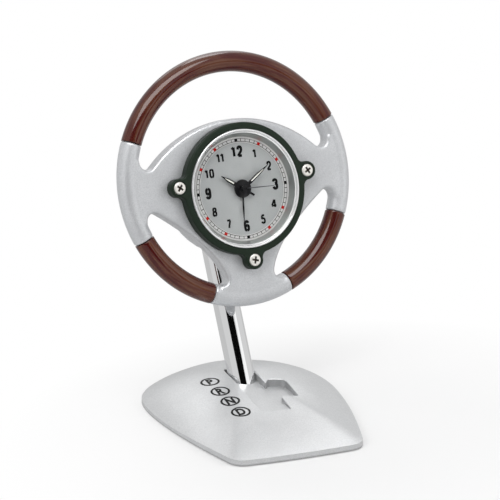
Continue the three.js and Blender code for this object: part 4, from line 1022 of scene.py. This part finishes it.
def dome(inset, floor):
    shrink = 1 - inset / half_width
    above_foot = floor + 0.2
    piece = loop_of(len(rim_points))
    for vertex, (x, y) in zip(piece.data.vertices, rim_points):
        vertex.co = (x * shrink + base_shift, y * shrink, floor)
    pick(piece, "VERT")
    bpy.ops.mesh.extrude_region_move(TRANSFORM_OT_translate={"value": (0, 0, edge_wall)})
    for before, after in zip(ring_shares, ring_shares[1:]):
        closer = after / before
        bpy.ops.mesh.extrude_region_move(TRANSFORM_OT_translate={"value": (0, 0, 0)})
        bpy.ops.transform.resize(value=(closer, closer, 1), center_override=(base_shift, 0, 0))
    bpy.ops.mesh.fill_holes(sides=0)
    start_fresh()
    for vertex in piece.data.vertices:
        if vertex.co.z > above_foot:
            x, y = base_shift + (vertex.co.x - base_shift) / shrink, vertex.co.y / shrink
            vertex.co.z = max(surface_height(x, y) - inset, floor + edge_wall)
    pick(piece, "VERT", lambda vertex: vertex.co.z < above_foot)
    bpy.ops.mesh.edge_face_add()
    clean(piece)
    pick(piece, "FACE", lambda face: len(face.vertices) > 4 and face.center.z > 5)
    bpy.ops.mesh.poke()
    start_fresh()
    return piece


shell = dome(0, 0.5)
print("dome", [round(value, 2) for value in shell.dimensions])

# %% [markdown]
# A shift gate is let into the dome: a bay round the column, a second bay beside it and a lane that
# runs forward until its floor meets the falling dome. The cutter is the gate's outline, extruded
# from a slightly tilted floor, with a flare at the dome's own surface that leaves a small chamfer
# round the edge.

# %% Cut the gate and hollow the shell
gate_corners = [
    (-6.8, 7.5), (6.2, 7.5), (6.2, -15.4), (8.6, -11.8), (15.2, -13), (16.5, -15.2),
    (16.5, -31.3), (7.7, -31.3), (7.7, -44), (-6.8, -44),
]
gate_outline = rounded(gate_corners, [1.6, 0.8, 1.0, 1.2, 1.2, 0.8, 0.7, 1.0, 0.6, 0.6], 4)
gate_slope = math.tan(math.radians(4))


def offset_outline(points, distance):
    made = []
    count = len(points)
    for i in range(count):
        before, here, after = (Vector(points[k]) for k in (i - 1, i, (i + 1) % count))
        first, second = (here - before).normalized(), (after - here).normalized()
        out_first, out_second = Vector((-first.y, first.x)), Vector((-second.y, second.x))
        shift = (out_first + out_second) * distance / (1 + out_first.dot(out_second))
        made.append((here.x + shift.x, here.y + shift.y))
    return made


def gate_tool(edge, level, flare, top):
    wide = offset_outline(edge, flare * 1.6)
    wider = {(round(x, 3), round(y, 3)): place for (x, y), place in zip(edge, wide)}
    piece = loop_of(len(edge))
    for vertex, (x, y) in zip(piece.data.vertices, edge):
        vertex.co = (x, y, 0)
    pick(piece, "VERT")
    for _ in range(3):
        bpy.ops.mesh.extrude_region_move(TRANSFORM_OT_translate={"value": (0, 0, 1)})
    start_fresh()
    for vertex in piece.data.vertices:
        x, y = vertex.co.x, vertex.co.y
        wx, wy = wider[(round(x, 3), round(y, 3))]
        ground = level - gate_slope * x
        row = round(vertex.co.z)
        if row == 0:
            vertex.co.z = ground
        elif row == 1:
            vertex.co.z = max(surface_height(x, y) - flare, ground + 0.05)
        elif row == 2:
            vertex.co = (wx, wy, max(surface_height(wx, wy) + flare, ground + 0.4))
        else:
            vertex.co = (wx, wy, top)
    pick(piece, "VERT")
    bpy.ops.mesh.fill_holes(sides=0)
    clean(piece)
    return piece


shell_wall, cavity_foot = 1.8, -1.0
gate_wall, gate_floor, gate_flare = 1.5, 9.9, 0.25
cavity = dome(shell_wall, cavity_foot)
under_gate = offset_outline(gate_corners, gate_wall)
combine(cavity, gate_tool(under_gate, gate_floor - gate_wall, 0.0, 30.0))
combine(shell, cavity)
combine(shell, gate_tool(gate_outline, gate_floor, gate_flare, 20.0), crossing=True)
settle(shell, "base_dome", base_axes, "stand", base_paint, 28)
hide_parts("base_shell")

# %% [markdown]
# Left of the gate stand the four letters of a gear selector, each in a ring, printed in black.
# They are flat shapes that are set down on the dome point by point.

# %% Print the gear legend
letter_height = 6.1
letter_squeeze = 0.72
ring_radius, ring_width = 3.62, 1.0
legend_lift = 0.06


def letter_print(letter, x, y):
    start_fresh()
    bpy.ops.object.text_add()
    text = bpy.context.object.data
    text.body = letter
    text.align_x = text.align_y = "CENTER"
    text.offset = 0.045
    text.extrude = 0.01
    text.resolution_u = 6
    bpy.ops.object.convert(target="MESH")
    piece = bpy.context.object
    xs, ys = ([vertex.co[k] for vertex in piece.data.vertices] for k in (0, 1))
    middle = ((min(xs) + max(xs)) / 2, (min(ys) + max(ys)) / 2)
    scale = letter_height / (max(ys) - min(ys))
    for vertex in piece.data.vertices:
        vertex.co.x = (vertex.co.x - middle[0]) * scale * letter_squeeze + x
        vertex.co.y = (vertex.co.y - middle[1]) * scale + y
        vertex.co.z = thin_ink if vertex.co.z > 0 else 0.0
    clean(piece, 1e-5)
    return piece


def laid_down(piece):
    for vertex in piece.data.vertices:
        lift = legend_lift if vertex.co.z > 0.005 else 0.0
        vertex.co.z = surface_height(vertex.co.x, vertex.co.y) + lift
    return piece


legend = []
legend_places = {"P": (-18.1, -5.0), "R": (-17.4, -17.2), "N": (-16.6, -28.4), "D": (-15.8, -40.3)}
for letter, (x, y) in legend_places.items():
    round_letter = set_down(hoop(ring_radius, ring_width, 0.0), Matrix.Translation((x, y, 0)))
    legend += [laid_down(letter_print(letter, x, y)), laid_down(round_letter)]
legend = join_pieces(legend)
settle(legend, "gear_legend", base_axes, "stand", ink_black)

# %% [markdown]
# ## Column
# The column is a stock chrome tube. It leans back from the base to the neck of the rear housing,
# and its lower end is cut level with the floor inside the socket.

# %% Make the tube
tube_radius, tube_foot, tube_head = 6.35, -14, 69
core_radius, core_foot, core_head = 5.35, -20, 80
foot_cut = -4.8
tube = rod(tube_radius, tube_foot, tube_head, 128)
combine(tube, rod(core_radius, core_foot, core_head, 96))
level_up = Matrix.Rotation(-column_lean, 3, "X").inverted() @ Vector((0, 0, 1))
pick(tube, "VERT")
bpy.ops.mesh.bisect(
    plane_co=level_up * foot_cut, plane_no=level_up, clear_inner=True, use_fill=True,
)
clean(tube)
settle(tube, "chrome_tube", column_axes, "stand", chrome)
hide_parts("column_tube")

# %% [markdown]
# ## Plain finishes for the rest
# The pieces behind the dial, inside the case and under the base keep their solids. Each gets the
# finish of its own stuff: moulded plastic, cut brass, turned steel, copper wire, circuit board,
# cast iron or foam.

# %% Dress the works, the column and the base
def copper_wire():
    material = new_finish("copper wire", (0.62, 0.25, 0.10), 1.0, 0.35)
    turns = node(material, "TexWave", {
        "Vector": millimetres(material, clock_axes), "Scale": 1.6, "Distortion": 0.3,
    }, bands_direction="X").outputs
    # Painted shade: the colour is darkest in the grooves between the turns, where the bump is low.
    tint(material, turns["Color"], [(0.1, (0.30, 0.10, 0.04)), (0.6, (0.66, 0.27, 0.11))])
    bump(material, turns["Fac"], 0.08, 0.6)
    return material


case_white = matt_plastic("case white", (0.74, 0.73, 0.69))
cover_black = matt_plastic("cover black", (0.03, 0.03, 0.032), 0.48, 3.0, 0.03)
gear_white = matt_plastic("gear white", (0.76, 0.75, 0.71), 0.32, 4.0, 0.005)
knob_black = matt_plastic("knob black", (0.022, 0.022, 0.024), 0.42, 4.0, 0.02)
plate_black = matt_plastic("plate black", (0.035, 0.035, 0.038), 0.5, 2.0, 0.03)
switch_white = matt_plastic("switch white", (0.70, 0.70, 0.68), 0.4, 4.0, 0.01)
board_green = matt_plastic("board green", (0.03, 0.20, 0.08), 0.35, 2.0, 0.02)
gear_brass = polished("gear brass", (0.72, 0.50, 0.20), 0.22, 0.12)
arbor_steel = polished("arbor steel", (0.62, 0.62, 0.63), 0.2, 0.15)
core_steel = polished("core steel", (0.38, 0.38, 0.40), 0.35, 0.15)
cell_steel = polished("cell steel", (0.70, 0.71, 0.72), 0.18, 0.12)
weight_iron = textured_black("weight iron", (0.10, 0.10, 0.105), 0.6, 1.2, 0.15)
pad_foam = textured_black("pad foam", (0.020, 0.020, 0.022), 0.85, 2.2, 0.25)
coil_copper = copper_wire()

finishes = [
    (case_white, ["movement_case", "train_bridge"]),
    (cover_black, ["movement_cover", "battery_cap"]),
    (gear_white, ["motion_wheel", "hour_wheel", "alarm_wheel", "step_wheel"]),
    (gear_brass, ["cannon_pinion", "centre_wheel", "third_wheel", "second_wheel"]),
    (gear_brass, ["alarm_buzzer", "cell_contact_back", "cell_contact_side"]),
    (arbor_steel, ["time_setting_arbor", "alarm_setting_arbor", "rotor"]),
    (arbor_steel, ["column_plug", "column_bolt", "column_washer"]),
    (core_steel, ["stator"]),
    (coil_copper, ["coil"]),
    (board_green, ["circuit_board"]),
    (cell_steel, ["button_cell"]),
    (knob_black, ["time_set_knob", "alarm_set_knob"]),
    (switch_white, ["alarm_switch"]),
    (silver_paint, ["rear_housing"]),
    (screw_steel, ["neck_screw", *(f"base_screw_{i}" for i in range(1, 5))]),
    (plate_black, ["base_plate"]),
    (weight_iron, ["base_weight"]),
    (pad_foam, ["base_pad"]),
]
for material, names in finishes:
    for name in names:
        nodes[name].data.materials.clear()
        nodes[name].data.materials.append(material)
print("dressed solids", sum(len(names) for _, names in finishes))

# %% [markdown]
# ## Picture
# A pale floor runs out to a white background. Daylight-like softboxes light the clock from above
# and both sides. Five cards are seen only in reflections. A tall dark one behind the camera draws
# the dark stripe down the chrome tube, a small dark one keeps the glass clear, a white one around
# it lights the bezel's lip, a bright one overhead lays the soft gleam along the lacquered rim, and
# another one behind it lights the base's front slope.

# %% Floor
def studio_floor():
    material = new_finish("floor", (0.94, 0.94, 0.94), 0.0, 0.9, {"Specular IOR Level": 0.0})
    rays = node(material, "LightPath").outputs
    direct = calculate(material, "MAXIMUM", rays["Is Camera Ray"], rays["Is Transmission Ray"])
    # Painted light: for camera rays the floor fades into a white glow with distance from a spot in
    # front of and right of the base, which washes out the floor's shadow behind the base; near that
    # spot the floor keeps its shadow. In reflections the floor shows as a flat glow.
    spot = node(material, "TexCoord").outputs["Object"]
    reach = vector_step(material, "DISTANCE", spot, (0.03, -0.07, 0.0))["Value"]
    far = spread(material, reach, 0.1, 1.0, 0.06, 0.18)
    share = calculate(material, "MULTIPLY", far, direct)
    share = calculate(material, "MAXIMUM", share, rays["Is Glossy Ray"])
    glow = spread(material, direct, 0.58, 1.0)
    mix_surface(material, share, node(material, "Emission", {
        "Color": (1, 1, 1, 1), "Strength": glow,
    }))
    return material


start_fresh()
bpy.ops.mesh.primitive_plane_add(size=8)
floor = bpy.context.object
floor.name = "floor"
floor.data.materials.append(studio_floor())
print("floor", tuple(floor.dimensions))

# %% World
world = bpy.data.worlds.new("studio")
bpy.context.scene.world = world
world.use_nodes = True
background = world.node_tree.nodes["Background"]
background.inputs["Color"].default_value = (1, 1, 1, 1)
rays = node(world, "LightPath").outputs
strength = calculate(world, "MULTIPLY", rays["Is Glossy Ray"], 0.68)
for seen_by in ("Is Camera Ray", "Is Transmission Ray"):
    strength = calculate(world, "MAXIMUM", rays[seen_by], strength)
strength = calculate(world, "MAXIMUM", strength, 0.5)
world.node_tree.links.new(strength, background.inputs["Strength"])
print("world nodes", len(world.node_tree.nodes))

# %% Lamps
middle = Vector((0, 0.01, 0.08))


def softbox(name, place, size, power, in_mirrors=False):
    lamp = bpy.data.lights.new(name, "AREA")
    lamp.shape = "RECTANGLE"
    lamp.size, lamp.size_y = size
    lamp.energy = power
    holder = bpy.data.objects.new(name, lamp)
    bpy.context.scene.collection.objects.link(holder)
    holder.location = place
    holder.rotation_euler = (middle - Vector(place)).to_track_quat("-Z", "Y").to_euler()
    holder.visible_glossy = in_mirrors
    print(name, power, "W")


softbox("softbox_top", (-0.3, -0.45, 1.0), (0.4, 0.4), 2.8)
softbox("softbox_back", (0.3, 0.95, 0.95), (1.0, 0.6), 2.1, in_mirrors=True)
softbox("softbox_left", (-1.0, -0.5, 0.6), (0.6, 0.9), 5.0)
softbox("softbox_right", (0.9, -0.7, 0.5), (0.6, 0.9), 5.0)

# %% Camera
def heading(turn, rise):
    turn, rise = math.radians(turn), math.radians(rise)
    flat = math.cos(rise)
    return Vector((math.sin(turn) * flat, -math.cos(turn) * flat, math.sin(rise)))


camera_data = bpy.data.cameras.new("camera")
camera_data.lens = 176.5
camera_data.sensor_width = camera_data.sensor_height = 36
camera_data.clip_start = 0.01
camera = bpy.data.objects.new("camera", camera_data)
bpy.context.scene.collection.objects.link(camera)
distance = 1162.66 * mm
aim = Vector((7.86, 23.82, 71.75)) * mm
away = heading(-27.37, 17.66)
camera.location = aim + away * distance
camera.rotation_euler = (-away).to_track_quat("-Z", "Y").to_euler()
bpy.context.scene.camera = camera
bpy.context.scene.view_settings.view_transform = "Standard"
print("camera", camera.location)

# %% Cards
def card_finish(name, emission, specular=0.5):
    return new_finish(name, (0.004, 0.004, 0.004), 0.0, 1.0, {
        "Specular IOR Level": specular, "Emission Color": (1, 1, 1, 1),
        "Emission Strength": emission,
    })


def reflected_card(name, place, size, finish):
    start_fresh()
    bpy.ops.mesh.primitive_plane_add(size=1)
    card = bpy.context.object
    card.name = name
    card.data.materials.append(finish)
    card.scale = (*size, 1)
    card.location = place
    card.rotation_euler = (Vector(place) - middle).to_track_quat("Z", "Y").to_euler()
    card.visible_camera = False
    card.visible_diffuse = False
    card.visible_shadow = False
    card.visible_transmission = False
    print(name, size)


black_card = card_finish("dark card", 0.0, 0.0)
white_card = card_finish("white card", 1.0)
bright_card = card_finish("bright card", 5.5)
side = Vector((-away.y, away.x, 0)).normalized()
behind = aim + away * (distance + 0.35) + side * 0.24
dial_centre, glass_way = clock_axes.translation, heading(26.6, 12.1)
reflected_card("stripe_card", behind, (1.62, 2.4), black_card)
reflected_card("glass_card", dial_centre + glass_way * 1.1, (0.26, 0.26), black_card)
reflected_card("lip_card", dial_centre + glass_way * 1.15, (0.68, 0.56), white_card)
reflected_card("rim_card", (-0.15, -0.45, 1.05), (1.0, 0.5), bright_card)
reflected_card("slope_card", (0.26, 0.45, 1.0), (0.38, 0.34), bright_card)
